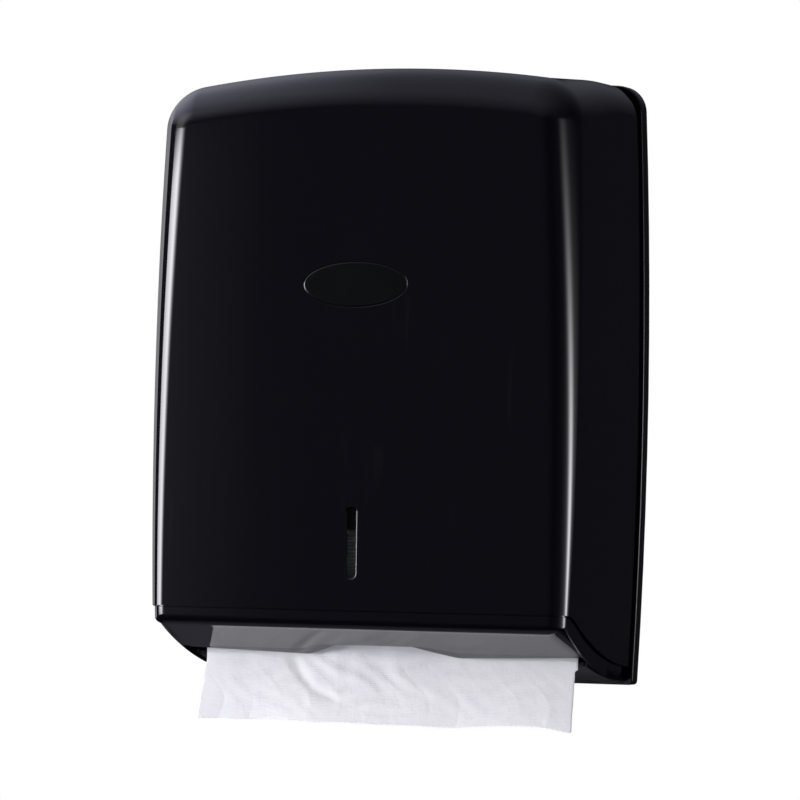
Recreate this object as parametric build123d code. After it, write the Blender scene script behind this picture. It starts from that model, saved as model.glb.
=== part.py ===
from build123d import *
import os
from math import sqrt

# Wall dispenser for folded paper towels.
# Frame: X to the right seen from the front, Y into the wall, Z up, and the wall is the plane Y = 0.
# Heights below are measured from the lower edge of the back plate. write() lowers each finished piece, so
# that the origin lies on the wall in the middle of the four wall screws. All sizes are millimetres.

# Outline that the back plate and the cover share
TOWEL_WIDTH = 240.0
SIDE_ROOM = 15.0
HEIGHT = 356.0
DEPTH = 120.0
SIDE_BOW = 4.7
TOP_ARCH_RADIUS = 1500.0
TOP_CORNER_RADIUS = 24.0
FOOT_CORNER_RADIUS = 2.5
FRONT_ROUND = 16.0

# Back plate
RIM_DEPTH = 8.2
RIM_CORNER_RADIUS = 16.0
RIM_EDGE_ROUND = 0.8
PLATE_THICKNESS = 2.5
SPIGOT_WALL = 2.4
SPIGOT_REACH = 15.8
SPIGOT_ABOVE_HINGE = 17.4
WALL_SCREW_SPACING_X = 160.0
WALL_SCREW_SPACING_Z = 230.0
WALL_SCREW_HOLE_RADIUS = 2.75
WALL_SCREW_BOSS_RADIUS = 8.0
WALL_SCREW_BOSS_HEIGHT = 2.0

# Cover
COVER_WALL = 2.0
SHADOW_GAP = 7.7
SPIGOT_GAP = 0.6
LIP_HEIGHT = 2.0
SEAM_BLEND = 45.0

# Badge and sight window in the cover's front
BADGE_LEVEL = 229.6
BADGE_HALF_WIDTH = 33.2
BADGE_HALF_HEIGHT = 13.2
BADGE_RECESS = 0.9
BADGE_THICKNESS = 0.6
BADGE_GAP = 0.2
WINDOW_ABOVE_SEAM = 38.65
WINDOW_WIDTH = 8.2
WINDOW_LENGTH = 42.0
WINDOW_BEVEL = 0.8
WINDOW_FLANGE = 4.0
WINDOW_THICKNESS = 1.5
WINDOW_PLUG = 1.0
WINDOW_GAP = 0.1

# Outlet tray, whose underside is one cylinder across the dispenser
HULL_RADIUS = 194.0
HULL_LOWEST_LEVEL = 1.4
HULL_LOWEST_Y = -1.0
SEAM_BAND = 9.0
TRAY_GAP = 0.4
TRAY_WALL = 2.2
TRAY_LAP = 3.5
TRAY_EDGE_ROUND = 6.0
TRAY_FLANGE_THICKNESS = 2.2
TRAY_FLANGE_GAP = 6.0
TRAY_BACK_GAP = 0.8
TRAY_CORNER_OPENING = 20.0
RIB_THICKNESS = 2.0
RIB_END_INSET = 15.0

# Towel slot and finger scallop, seen from below
SLOT_END_WALL = 1.9
SLOT_BEHIND_SHEET = 3.9
SLOT_AHEAD_AT_ENDS = 9.6
SLOT_AHEAD_AT_SCALLOP = 3.6
SCALLOP_AHEAD = 18.1
SCALLOP_HALF_TOP = 24.0
SCALLOP_HALF_FOOT = 48.0
SCALLOP_ROUND = 9.0
SLOT_CORNER_ROUND = 2.0

# Hinge
HINGE_Y = -24.0
HINGE_PIN_RADIUS = 2.0
HINGE_PIN_HEAD_RADIUS = 3.5
HINGE_PIN_HEAD = 1.5
HINGE_RUNNING_GAP = 0.05
HINGE_SEAT_GAP = 0.02
HINGE_LUG_RADIUS = 4.5
HINGE_LUG_ABOVE_SEAM = 0.3
HINGE_LUG_LENGTH = 6.7
HINGE_LUG_CLEARANCE = 0.6
HINGE_LUG_BITE = 5.0
HINGE_PIN_END_GAP = 0.3
HINGE_EAR_THICKNESS = 4.0
HINGE_EAR_RADIUS = 6.0
HINGE_SIDE_GAP = 0.4

# Lock in the top of the cover
LOCK_Y = -42.0
LOCK_BOSS_RADIUS = 13.0
LOCK_BOSS_THICKNESS = 4.0
LOCK_FLANGE_RADIUS = 10.0
LOCK_FLANGE_THICKNESS = 1.5
LOCK_BARREL_RADIUS = 7.0
LOCK_BARREL_LENGTH = 18.0
LOCK_GAP = 0.1
LOCK_CORE_RADIUS = 4.0
LOCK_CORE_HEAD_RADIUS = 5.5
LOCK_CORE_HEAD = 1.2
LOCK_CORE_GAP = 0.05
LOCK_KEYWAY = (1.6, 6.0, 3.0)
LOCK_WASHER_RADIUS = 10.5
LOCK_WASHER_THICKNESS = 0.8
LOCK_NUT_RADIUS = 10.9
LOCK_NUT_THICKNESS = 3.2
LOCK_TAIL_WIDTH = 5.0
CAM_THICKNESS = 2.5
CAM_GAP = 0.5
CAM_HUB_RADIUS = 6.5
CAM_REACH = 13.0
CAM_FOOT_WIDTH = 4.0
CAM_FOOT_LENGTH = 19.0
CAM_ARM_HALF_WIDTH = 3.0

# Strike for the lock cam
STRIKE_X = 15.0
STRIKE_WIDTH = 6.0
STRIKE_THICKNESS = 2.0
STRIKE_TAB_HEIGHT = 10.0
STRIKE_PLAY = 1.5
STRIKE_BASE_HEIGHT = 26.0
STRIKE_BASE_WIDTH = 14.0
STRIKE_ARM_DROP = 4.0
STRIKE_SCREW_SPACING = 14.0

# Towels and their guides
STACK_ROOM = 36.0
STACK_SETBACK = 2.0
STACK_LIFT = 0.5
STACK_FOLDS = 10
STACK_FOLD_HEIGHT = 5.15
STACK_FOLD_BULGE = 1.5
SHEET_THICKNESS = 0.8
SHEET_DEPTH_SHARE = 0.57
SHEET_TOP_GAP = 0.3
SHEET_DROP = 25.0
SHEET_DENT_HALF_WIDTH = 50.0
SHEET_DENT = 1.6
SHEET_SIDE_WAVE = 1.2
GUIDE_GAP = 1.5
GUIDE_THICKNESS = 2.0
GUIDE_FOOT_WIDTH = 14.0
GUIDE_LOW = 52.0
GUIDE_HIGH = 200.0
GUIDE_FRONT_ROOM = 24.0
GUIDE_FRONT_ROUND = 20.0
GUIDE_SCREW_MARGIN = 26.0

# Small screws and the bosses on the back plate that take them
BOSS_RADIUS = 4.5
BOSS_HEIGHT = 4.0
SCREW_RADIUS = 1.45
SCREW_HOLE_RADIUS = 1.5
SCREW_BITE = 5.0
SCREW_END_GAP = 0.3
SCREW_HEAD_RADIUS = 2.8
SCREW_HEAD = 1.8
SCREW_DRIVE = (0.8, 3.6, 0.9)
TRAY_SCREW_WIDTH_SHARE = 0.375
TRAY_SCREW_LEVEL = 22.0


def half_width_at(level):
    """Half width of the outline at a height."""
    return WIDTH / 2 - SIDE_RADIUS + sqrt(SIDE_RADIUS**2 - (level - HEIGHT / 2) ** 2)


def hull_level(radius, distance):
    """Height of a circle about the centre of the tray's underside, at a distance off the wall."""
    return HULL_CENTRE_LEVEL - sqrt(radius**2 - (distance + HULL_LOWEST_Y) ** 2)


# Values worked out from the sizes above
WIDTH = TOWEL_WIDTH + 2 * SIDE_ROOM
ORIGIN_LEVEL = HEIGHT / 2
SIDE_RADIUS = ((HEIGHT / 2) ** 2 + SIDE_BOW**2) / (2 * SIDE_BOW)
COVER_REAR = RIM_DEPTH + SHADOW_GAP
SPIGOT_INSET = COVER_WALL + SPIGOT_GAP
POCKET_INSET = SPIGOT_INSET + SPIGOT_WALL
TRAY_INSET = COVER_WALL + TRAY_GAP
TRAY_REAR = RIM_DEPTH + TRAY_BACK_GAP
TRAY_FLANGE_FRONT = TRAY_REAR + TRAY_FLANGE_THICKNESS
HULL_CENTRE_LEVEL = HULL_LOWEST_LEVEL + HULL_RADIUS
HULL_INNER_RADIUS = HULL_RADIUS - TRAY_WALL
SEAM_LEVEL = hull_level(HULL_RADIUS, DEPTH - TRAY_INSET) + LIP_HEIGHT
WINDOW_LEVEL = SEAM_LEVEL + WINDOW_ABOVE_SEAM
SEAM_AT_HINGE = hull_level(HULL_RADIUS - SEAM_BAND, -HINGE_Y)
HINGE_LEVEL = SEAM_AT_HINGE + HINGE_LUG_ABOVE_SEAM + HINGE_LUG_RADIUS
SPIGOT_FOOT = HINGE_LEVEL + SPIGOT_ABOVE_HINGE
LUG_INNER = half_width_at(HINGE_LEVEL) - COVER_WALL - HINGE_LUG_LENGTH
EAR_OUTER = LUG_INNER - HINGE_SIDE_GAP
EAR_INNER = EAR_OUTER - HINGE_EAR_THICKNESS
TRAY_FLANGE_HALF_WIDTH = EAR_INNER - TRAY_FLANGE_GAP
FRONT_RIB_PLACES = (TOWEL_WIDTH / 4, TOWEL_WIDTH / 2 - RIB_END_INSET)
REAR_RIB_PLACES = (TOWEL_WIDTH / 12, *FRONT_RIB_PLACES)
TRAY_SCREW_PLACES = (-TRAY_SCREW_WIDTH_SHARE * TOWEL_WIDTH, 0, TRAY_SCREW_WIDTH_SHARE * TOWEL_WIDTH)
LOCK_SEAT_LEVEL = HEIGHT - LOCK_FLANGE_THICKNESS - LOCK_GAP
LOCK_BOSS_LEVEL = LOCK_SEAT_LEVEL - LOCK_BOSS_THICKNESS
LOCK_BARREL_END = LOCK_SEAT_LEVEL - LOCK_BARREL_LENGTH
CAM_TOP = LOCK_BARREL_END - CAM_GAP
CAM_BOTTOM = CAM_TOP - CAM_THICKNESS
STRIKE_SEAT = PLATE_THICKNESS + BOSS_HEIGHT
STRIKE_ARM_TOP = CAM_BOTTOM - STRIKE_ARM_DROP
STRIKE_TAB_Y = LOCK_Y + CAM_REACH - CAM_FOOT_WIDTH - STRIKE_PLAY
STRIKE_BASE_TOP = STRIKE_ARM_TOP
STRIKE_SCREW_MIDDLE = STRIKE_BASE_TOP - STRIKE_BASE_HEIGHT / 2 - STRIKE_THICKNESS
GUIDE_INNER = TOWEL_WIDTH / 2 + GUIDE_GAP
GUIDE_OUTER = GUIDE_INNER + GUIDE_THICKNESS
GUIDE_SEAT = PLATE_THICKNESS + BOSS_HEIGHT
GUIDE_FRONT = DEPTH - GUIDE_FRONT_ROOM
GUIDE_SCREW_X = GUIDE_OUTER - GUIDE_FOOT_WIDTH / 2 - GUIDE_THICKNESS / 2
GUIDE_SCREW_LEVELS = (GUIDE_LOW + GUIDE_SCREW_MARGIN, GUIDE_HIGH - GUIDE_SCREW_MARGIN)
SHEET_DISTANCE = SHEET_DEPTH_SHARE * DEPTH
SHEET_Y = -SHEET_DISTANCE
STACK_DEPTH = DEPTH - STACK_ROOM
STACK_MIDDLE_Y = SHEET_Y + STACK_SETBACK
STACK_FRONT = STACK_MIDDLE_Y - STACK_DEPTH / 2
STACK_REAR = STACK_MIDDLE_Y + STACK_DEPTH / 2
STACK_FLOOR = hull_level(HULL_INNER_RADIUS, -STACK_FRONT) + STACK_LIFT
SHEET_TOP = STACK_FLOOR - SHEET_TOP_GAP
SLOT_HALF_LENGTH = half_width_at(0) - TRAY_INSET - SLOT_END_WALL
SLOT_REAR = SHEET_DISTANCE - SLOT_BEHIND_SHEET
SLOT_FRONT_AT_ENDS = SHEET_DISTANCE + SLOT_AHEAD_AT_ENDS
SLOT_FRONT_AT_SCALLOP = SHEET_DISTANCE + SLOT_AHEAD_AT_SCALLOP
SCALLOP_FRONT = SHEET_DISTANCE + SCALLOP_AHEAD
SLOT_CUT_TOP = hull_level(HULL_INNER_RADIUS, SCALLOP_FRONT) + TRAY_WALL

# Directions, and how far cutting tools run past what they cut
INTO_WALL = (0, 1, 0)
OUT_OF_WALL = (0, -1, 0)
UP = (0, 0, 1)
DOWN = (0, 0, -1)
RUN_PAST = 1.0


def write(name, piece):
    """Lower a finished piece into the row frame and write it as one STEP file."""
    export_step(Pos(0, 0, -ORIGIN_LEVEL) * piece, f"parts/{name}.step")


def rod(start, direction, length, radius):
    """Round rod from a point along a direction."""
    return Plane(start, z_dir=direction) * Cylinder(radius, length, align=(Align.CENTER, Align.CENTER, Align.MIN))


def block(low, high):
    """Box between two opposite corners."""
    size = [b - a for a, b in zip(low, high)]
    return Pos(*low) * Box(*size, align=(Align.MIN, Align.MIN, Align.MIN))


def forward(sketch, start, end):
    """Front-view sketch in X and Z, carried from one distance off the wall to another."""
    return extrude(Plane.XZ.offset(start) * sketch, amount=end - start)


def across(sketch, half_width):
    """Side-view sketch in Y and Z, carried to both sides of the middle plane."""
    return extrude(Plane.YZ * sketch, amount=half_width, both=True)


def outline(inset, foot, corner=TOP_CORNER_RADIUS):
    """Front-view outline drawn in by inset: bowed sides, an arched top with round corners, a straight foot."""
    side = Rot(0, 0, 180) * Circle(SIDE_RADIUS - inset)
    right = Pos(WIDTH / 2 - SIDE_RADIUS, HEIGHT / 2) * side
    left = Pos(SIDE_RADIUS - WIDTH / 2, HEIGHT / 2) * Circle(SIDE_RADIUS - inset)
    top = Pos(0, HEIGHT - TOP_ARCH_RADIUS) * Circle(TOP_ARCH_RADIUS - inset)
    above_foot = Pos(0, foot + HEIGHT) * Rectangle(2 * WIDTH, 2 * HEIGHT)
    shape = right & left & top & above_foot
    top_corners = shape.vertices().sort_by(Axis.Y)[-2:]
    return fillet(top_corners, corner - inset)


def rounded_front(inset, rear):
    """Solid of the cover's outside drawn in by inset, from a distance off the wall to the front."""
    solid = forward(outline(inset, 0), rear, DEPTH - inset)
    front = solid.faces().sort_by(Axis.Y)[0]
    edges = front.edges().sort_by(Axis.Z)[1:]
    return fillet(edges, FRONT_ROUND - inset)


def hull_circle(radius):
    """Side-view circle about the centre of the tray's underside."""
    return Pos(HULL_LOWEST_Y, HULL_CENTRE_LEVEL) * Circle(radius)


def below_seam(raised):
    """Side-view region under the cover's lower edge: level in front, then down along the tray's underside."""
    level = SEAM_LEVEL + raised
    slab = Pos(-DEPTH, level - HEIGHT) * Rectangle(2 * DEPTH, 2 * HEIGHT)
    region = slab - hull_circle(HULL_RADIUS - SEAM_BAND - raised)
    bend = region.vertices().group_by(Axis.Y)[-1].sort_by(Axis.X)[-1]
    return fillet(bend, SEAM_BLEND + raised)


def screw(seat, length):
    """Pan-head screw driven into the wall direction, with the underside of its head at seat."""
    head_top = (seat[0], seat[1] - SCREW_HEAD, seat[2])
    solid = rod(seat, INTO_WALL, length, SCREW_RADIUS) + rod(seat, OUT_OF_WALL, SCREW_HEAD, SCREW_HEAD_RADIUS)
    narrow, wide, deep = SCREW_DRIVE
    for size in ((narrow, 2 * deep, wide), (wide, 2 * deep, narrow)):
        solid -= Pos(*head_top) * Box(*size)
    return solid


def make_back_plate():
    """Pan against the wall with its rim, the spigot that the cover closes over, bosses and hinge ears."""
    base = outline(0, 0, RIM_CORNER_RADIUS)
    foot_corners = base.vertices().sort_by(Axis.Y)[:2]
    rim = forward(fillet(foot_corners, FOOT_CORNER_RADIUS), 0, RIM_DEPTH)
    rim = fillet(rim.faces().sort_by(Axis.Y)[0].edges(), RIM_EDGE_ROUND)
    spigot = forward(outline(SPIGOT_INSET, SPIGOT_FOOT), RIM_DEPTH, RIM_DEPTH + SPIGOT_REACH)
    pocket = forward(outline(POCKET_INSET, POCKET_INSET), PLATE_THICKNESS, DEPTH)
    plate = rim + spigot - pocket
    for place in tray_screw_seats():
        plate += rod((place[0], -PLATE_THICKNESS, place[2]), OUT_OF_WALL, TRAY_REAR - PLATE_THICKNESS, BOSS_RADIUS)
    for place in guide_screw_seats():
        plate += rod((place[0], -PLATE_THICKNESS, place[2]), OUT_OF_WALL, BOSS_HEIGHT, BOSS_RADIUS)
    strike_middle = (STRIKE_X, -PLATE_THICKNESS - BOSS_HEIGHT / 2, STRIKE_SCREW_MIDDLE)
    plate += Pos(*strike_middle) * Box(STRIKE_BASE_WIDTH, BOSS_HEIGHT, STRIKE_BASE_HEIGHT)
    for seats, thickness in screw_groups().values():
        for seat in seats:
            plate -= rod(seat, INTO_WALL, thickness + SCREW_BITE + SCREW_END_GAP, SCREW_HOLE_RADIUS)
    for side in (-1, 1):
        plate += hinge_ear(side)
        for level_side in (-1, 1):
            x = side * WALL_SCREW_SPACING_X / 2
            level = ORIGIN_LEVEL + level_side * WALL_SCREW_SPACING_Z / 2
            plate += rod((x, -PLATE_THICKNESS, level), OUT_OF_WALL, WALL_SCREW_BOSS_HEIGHT, WALL_SCREW_BOSS_RADIUS)
            plate -= rod((x, RUN_PAST, level), OUT_OF_WALL, DEPTH, WALL_SCREW_HOLE_RADIUS)
    return plate


def hinge_ear(side):
    """Ear of the back plate that holds one hinge pin."""
    inner = side * EAR_INNER
    outward = (side, 0, 0)
    reach = PLATE_THICKNESS / 2
    low = (min(inner, side * EAR_OUTER), HINGE_Y, HINGE_LEVEL - HINGE_EAR_RADIUS)
    high = (max(inner, side * EAR_OUTER), -reach, HINGE_LEVEL + HINGE_EAR_RADIUS)
    centre = (inner, HINGE_Y, HINGE_LEVEL)
    ear = block(low, high) + rod(centre, outward, HINGE_EAR_THICKNESS, HINGE_EAR_RADIUS)
    return ear - rod(centre, outward, HINGE_EAR_THICKNESS, HINGE_PIN_RADIUS + HINGE_SEAT_GAP)


def make_hinge_pin(side):
    """Headed pin, pushed outward through the ear into the cover's lug."""
    seat = (side * EAR_INNER, HINGE_Y, HINGE_LEVEL)
    length = LUG_INNER + HINGE_LUG_BITE - HINGE_PIN_END_GAP - EAR_INNER
    shank = rod(seat, (side, 0, 0), length, HINGE_PIN_RADIUS)
    return shank + rod(seat, (-side, 0, 0), HINGE_PIN_HEAD, HINGE_PIN_HEAD_RADIUS)


def make_cover():
    """Glossy shell open behind and below, with hinge lugs, lock boss, badge recess and sight slot."""
    outside = rounded_front(0, COVER_REAR)
    inside = rounded_front(COVER_WALL, COVER_REAR - RUN_PAST)
    shell = outside - inside - across(below_seam(0), WIDTH)
    lug_outer = half_width_at(HINGE_LEVEL) - COVER_WALL / 2
    for side in (-1, 1):
        lug_start = (side * LUG_INNER, HINGE_Y, HINGE_LEVEL)
        shell += rod(lug_start, (side, 0, 0), lug_outer - LUG_INNER, HINGE_LUG_RADIUS)
        shell -= rod(lug_start, (side, 0, 0), HINGE_LUG_BITE, HINGE_PIN_RADIUS + HINGE_RUNNING_GAP)
    boss_top = HEIGHT - COVER_WALL / 2
    shell += rod((0, LOCK_Y, LOCK_BOSS_LEVEL), UP, boss_top - LOCK_BOSS_LEVEL, LOCK_BOSS_RADIUS)
    shell -= rod((0, LOCK_Y, LOCK_SEAT_LEVEL), UP, HEIGHT, LOCK_FLANGE_RADIUS + LOCK_GAP)
    shell -= rod((0, LOCK_Y, LOCK_BARREL_END), UP, HEIGHT, LOCK_BARREL_RADIUS + LOCK_GAP)
    badge = Pos(0, BADGE_LEVEL) * Ellipse(BADGE_HALF_WIDTH, BADGE_HALF_HEIGHT)
    shell -= forward(badge, DEPTH - BADGE_RECESS, DEPTH + RUN_PAST)
    shell -= forward(window_shape(0), DEPTH - COVER_WALL - RUN_PAST, DEPTH + RUN_PAST)
    bevel = Plane.XZ.offset(DEPTH - WINDOW_BEVEL) * window_shape(0)
    return shell - extrude(bevel, amount=WINDOW_BEVEL, taper=-45)


def window_shape(grow):
    """Upright slot with round ends, widened by grow on every side."""
    upright = Rot(0, 0, 90) * SlotOverall(WINDOW_LENGTH + 2 * grow, WINDOW_WIDTH + 2 * grow)
    return Pos(0, WINDOW_LEVEL) * upright


def make_level_window():
    """Smoked strip behind the sight slot, with a plug that fills the slot."""
    rear_face = DEPTH - COVER_WALL
    flange = forward(window_shape(WINDOW_FLANGE), rear_face - WINDOW_THICKNESS, rear_face)
    return flange + forward(window_shape(-WINDOW_GAP), rear_face, rear_face + WINDOW_PLUG)


def make_badge_plate():
    """Bare oval inlay on the floor of the badge recess."""
    oval = Pos(0, BADGE_LEVEL) * Ellipse(BADGE_HALF_WIDTH - BADGE_GAP, BADGE_HALF_HEIGHT - BADGE_GAP)
    floor = DEPTH - BADGE_RECESS
    return forward(oval, floor, floor + BADGE_THICKNESS)


def slot_shape():
    """Plan of the towel slot, with its front edge drawn forward at the ends and at the finger scallop."""
    half = [
        (SCALLOP_HALF_TOP, -SCALLOP_FRONT),
        (SCALLOP_HALF_FOOT, -SLOT_FRONT_AT_SCALLOP),
        (SLOT_HALF_LENGTH, -SLOT_FRONT_AT_ENDS),
        (SLOT_HALF_LENGTH, -SLOT_REAR),
    ]
    other_half = [(-x, y) for x, y in reversed(half)]
    shape = make_face(Polyline(*half, *other_half, close=True))
    by_distance = shape.vertices().sort_by(lambda vertex: abs(vertex.X))
    shape = fillet(by_distance[:4], SCALLOP_ROUND)
    ends = shape.vertices().sort_by(lambda vertex: abs(vertex.X))[-4:]
    return fillet(ends, SLOT_CORNER_ROUND)


def tray_block(inset, hull_radius, edge_round, rear):
    """Solid of the tray's outside or inside: the rounded front, cut to the hull and rounded along its edge."""
    hull = across(hull_circle(hull_radius), WIDTH)
    solid = rounded_front(inset, rear) & hull
    bottom = solid.faces().sort_by(Axis.Z)[0]
    edges = bottom.edges().sort_by(Axis.Y)[:-1]
    return fillet(edges, edge_round)


def make_outlet_tray():
    """Boat-shaped bottom with the towel slot, ribs that carry the towels and a flange on the back plate."""
    outside = tray_block(TRAY_INSET, HULL_RADIUS, TRAY_EDGE_ROUND, TRAY_REAR)
    inside = tray_block(
        TRAY_INSET + TRAY_WALL, HULL_INNER_RADIUS, TRAY_EDGE_ROUND - TRAY_WALL, TRAY_REAR - RUN_PAST
    )
    slot = extrude(slot_shape(), amount=SLOT_CUT_TOP)
    skin = (outside - inside - slot) & across(below_seam(TRAY_LAP), WIDTH)
    corner_low = HULL_LOWEST_LEVEL + TRAY_WALL + RUN_PAST
    for side in (-1, 1):
        near = min(side * TRAY_FLANGE_HALF_WIDTH, side * WIDTH)
        far = max(side * TRAY_FLANGE_HALF_WIDTH, side * WIDTH)
        skin -= block((near, -TRAY_CORNER_OPENING, corner_low), (far, 0, HEIGHT))
        lug_start = (side * LUG_INNER, HINGE_Y, HINGE_LEVEL)
        skin -= rod(lug_start, (side, 0, 0), WIDTH, HINGE_LUG_RADIUS + HINGE_LUG_CLEARANCE)
    inner_room = inside & block((-WIDTH, -DEPTH, 0), (WIDTH, -TRAY_REAR, STACK_FLOOR))
    flange = block(
        (-TRAY_FLANGE_HALF_WIDTH, -TRAY_FLANGE_FRONT, 0), (TRAY_FLANGE_HALF_WIDTH, -TRAY_REAR, STACK_FLOOR)
    )
    walls = [flange]
    for places, front, rear in (
        (FRONT_RIB_PLACES, -DEPTH, -SLOT_FRONT_AT_ENDS - RUN_PAST),
        (REAR_RIB_PLACES, -SLOT_REAR + RUN_PAST, -TRAY_REAR),
    ):
        for place in places:
            for x in (-place, place):
                walls.append(block((x - RIB_THICKNESS / 2, front, 0), (x + RIB_THICKNESS / 2, rear, STACK_FLOOR)))
    tray = skin
    for wall in walls:
        tray += wall & inner_room
    for seat in tray_screw_seats():
        tray -= rod((seat[0], 0, seat[2]), OUT_OF_WALL, DEPTH / 2, SCREW_HOLE_RADIUS)
    return tray


def tray_screw_seats():
    """Points under the heads of the screws that hold the tray."""
    return [(x, -TRAY_FLANGE_FRONT, TRAY_SCREW_LEVEL) for x in TRAY_SCREW_PLACES]


def guide_screw_seats():
    """Points under the heads of the screws that hold the two stack guides."""
    seat = -GUIDE_SEAT - GUIDE_THICKNESS
    return [(side * GUIDE_SCREW_X, seat, level) for side in (-1, 1) for level in GUIDE_SCREW_LEVELS]


def strike_screw_seats():
    """Points under the heads of the screws that hold the strike."""
    seat = -STRIKE_SEAT - STRIKE_THICKNESS
    offset = STRIKE_SCREW_SPACING / 2
    return [(STRIKE_X, seat, STRIKE_SCREW_MIDDLE + side * offset) for side in (-1, 1)]


def screw_groups():
    """Each group of small screws: the points under their heads and the thickness that they hold."""
    return {
        "tray_screws": (tray_screw_seats(), TRAY_FLANGE_THICKNESS),
        "guide_screws": (guide_screw_seats(), GUIDE_THICKNESS),
        "strike_screws": (strike_screw_seats(), STRIKE_THICKNESS),
    }


def make_screws(seats, thickness):
    """Group of equal screws through a piece of one thickness."""
    return Part() + [screw(seat, thickness + SCREW_BITE) for seat in seats]


def make_stack_guide(side):
    """Upright guide plate beside the towels, with a foot on two bosses of the back plate."""
    front = -GUIDE_FRONT
    plate = Pos((front - GUIDE_SEAT) / 2, (GUIDE_LOW + GUIDE_HIGH) / 2) * Rectangle(
        GUIDE_FRONT - GUIDE_SEAT, GUIDE_HIGH - GUIDE_LOW
    )
    plate = fillet(plate.vertices().sort_by(Axis.X)[:2], GUIDE_FRONT_ROUND)
    wing = extrude(Plane.YZ.offset(GUIDE_INNER) * plate, amount=GUIDE_THICKNESS)
    foot_inner = GUIDE_OUTER - GUIDE_FOOT_WIDTH
    foot = block((foot_inner, -GUIDE_SEAT - GUIDE_THICKNESS, GUIDE_LOW), (GUIDE_OUTER, -GUIDE_SEAT, GUIDE_HIGH))
    guide = wing + foot
    if side < 0:
        guide = mirror(guide, about=Plane.YZ)
    for seat in guide_screw_seats():
        guide -= rod((seat[0], 0, seat[2]), OUT_OF_WALL, DEPTH / 2, SCREW_HOLE_RADIUS)
    return guide


def make_lock_barrel():
    """Flanged sleeve, flush in the top of the cover."""
    barrel = rod((0, LOCK_Y, LOCK_SEAT_LEVEL), DOWN, LOCK_BARREL_LENGTH, LOCK_BARREL_RADIUS)
    barrel += rod((0, LOCK_Y, LOCK_SEAT_LEVEL), UP, LOCK_FLANGE_THICKNESS, LOCK_FLANGE_RADIUS)
    top = LOCK_SEAT_LEVEL + LOCK_FLANGE_THICKNESS
    barrel -= rod((0, LOCK_Y, top), DOWN, LOCK_CORE_HEAD + LOCK_CORE_GAP, LOCK_CORE_HEAD_RADIUS + LOCK_CORE_GAP)
    return barrel - rod((0, LOCK_Y, 0), UP, HEIGHT, LOCK_CORE_RADIUS + LOCK_CORE_GAP)


def make_lock_core():
    """Turning core with a keyway on top and a square tail for the cam."""
    top = LOCK_SEAT_LEVEL + LOCK_FLANGE_THICKNESS
    core = rod((0, LOCK_Y, top), DOWN, top - CAM_TOP, LOCK_CORE_RADIUS)
    core += rod((0, LOCK_Y, top), DOWN, LOCK_CORE_HEAD, LOCK_CORE_HEAD_RADIUS)
    core += Pos(0, LOCK_Y, CAM_TOP - CAM_THICKNESS / 2) * Box(LOCK_TAIL_WIDTH, LOCK_TAIL_WIDTH, CAM_THICKNESS)
    core -= rod((0, LOCK_Y, CAM_BOTTOM), UP, SCREW_BITE + CAM_THICKNESS, SCREW_HOLE_RADIUS)
    narrow, wide, deep = LOCK_KEYWAY
    return core - Pos(0, LOCK_Y, top) * Box(narrow, wide, 2 * deep)


def make_lock_cam():
    """Hooked cam on the core's tail, shown turned to the side, where the cover is free."""
    cam = rod((0, LOCK_Y, CAM_BOTTOM), UP, CAM_THICKNESS, CAM_HUB_RADIUS)
    cam += block((-CAM_REACH, LOCK_Y - CAM_ARM_HALF_WIDTH, CAM_BOTTOM), (0, LOCK_Y + CAM_ARM_HALF_WIDTH, CAM_TOP))
    cam += block(
        (-CAM_REACH, LOCK_Y - CAM_ARM_HALF_WIDTH, CAM_BOTTOM),
        (-CAM_REACH + CAM_FOOT_WIDTH, LOCK_Y + CAM_FOOT_LENGTH, CAM_TOP),
    )
    hole = LOCK_TAIL_WIDTH + 2 * LOCK_CORE_GAP
    return cam - Pos(0, LOCK_Y, CAM_TOP) * Box(hole, hole, 4 * CAM_THICKNESS)


def make_cam_screw():
    """Screw that holds the cam on the core, driven upward."""
    upward = Rot(90, 0, 0) * screw((0, 0, 0), SCREW_BITE + CAM_THICKNESS - RUN_PAST)
    return Pos(0, LOCK_Y, CAM_BOTTOM) * upward


def make_lock_washer():
    """Washer under the lock nut."""
    washer = rod((0, LOCK_Y, LOCK_BOSS_LEVEL), DOWN, LOCK_WASHER_THICKNESS, LOCK_WASHER_RADIUS)
    return washer - rod((0, LOCK_Y, 0), UP, HEIGHT, LOCK_BARREL_RADIUS + LOCK_GAP)


def make_lock_nut():
    """Thin hexagon nut that clamps the barrel in the cover."""
    top = LOCK_BOSS_LEVEL - LOCK_WASHER_THICKNESS
    hexagon = Pos(0, LOCK_Y) * RegularPolygon(LOCK_NUT_RADIUS, 6)
    nut = Pos(0, 0, top - LOCK_NUT_THICKNESS) * extrude(hexagon, amount=LOCK_NUT_THICKNESS)
    return nut - rod((0, LOCK_Y, 0), UP, HEIGHT, LOCK_BARREL_RADIUS + LOCK_GAP)


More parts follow.
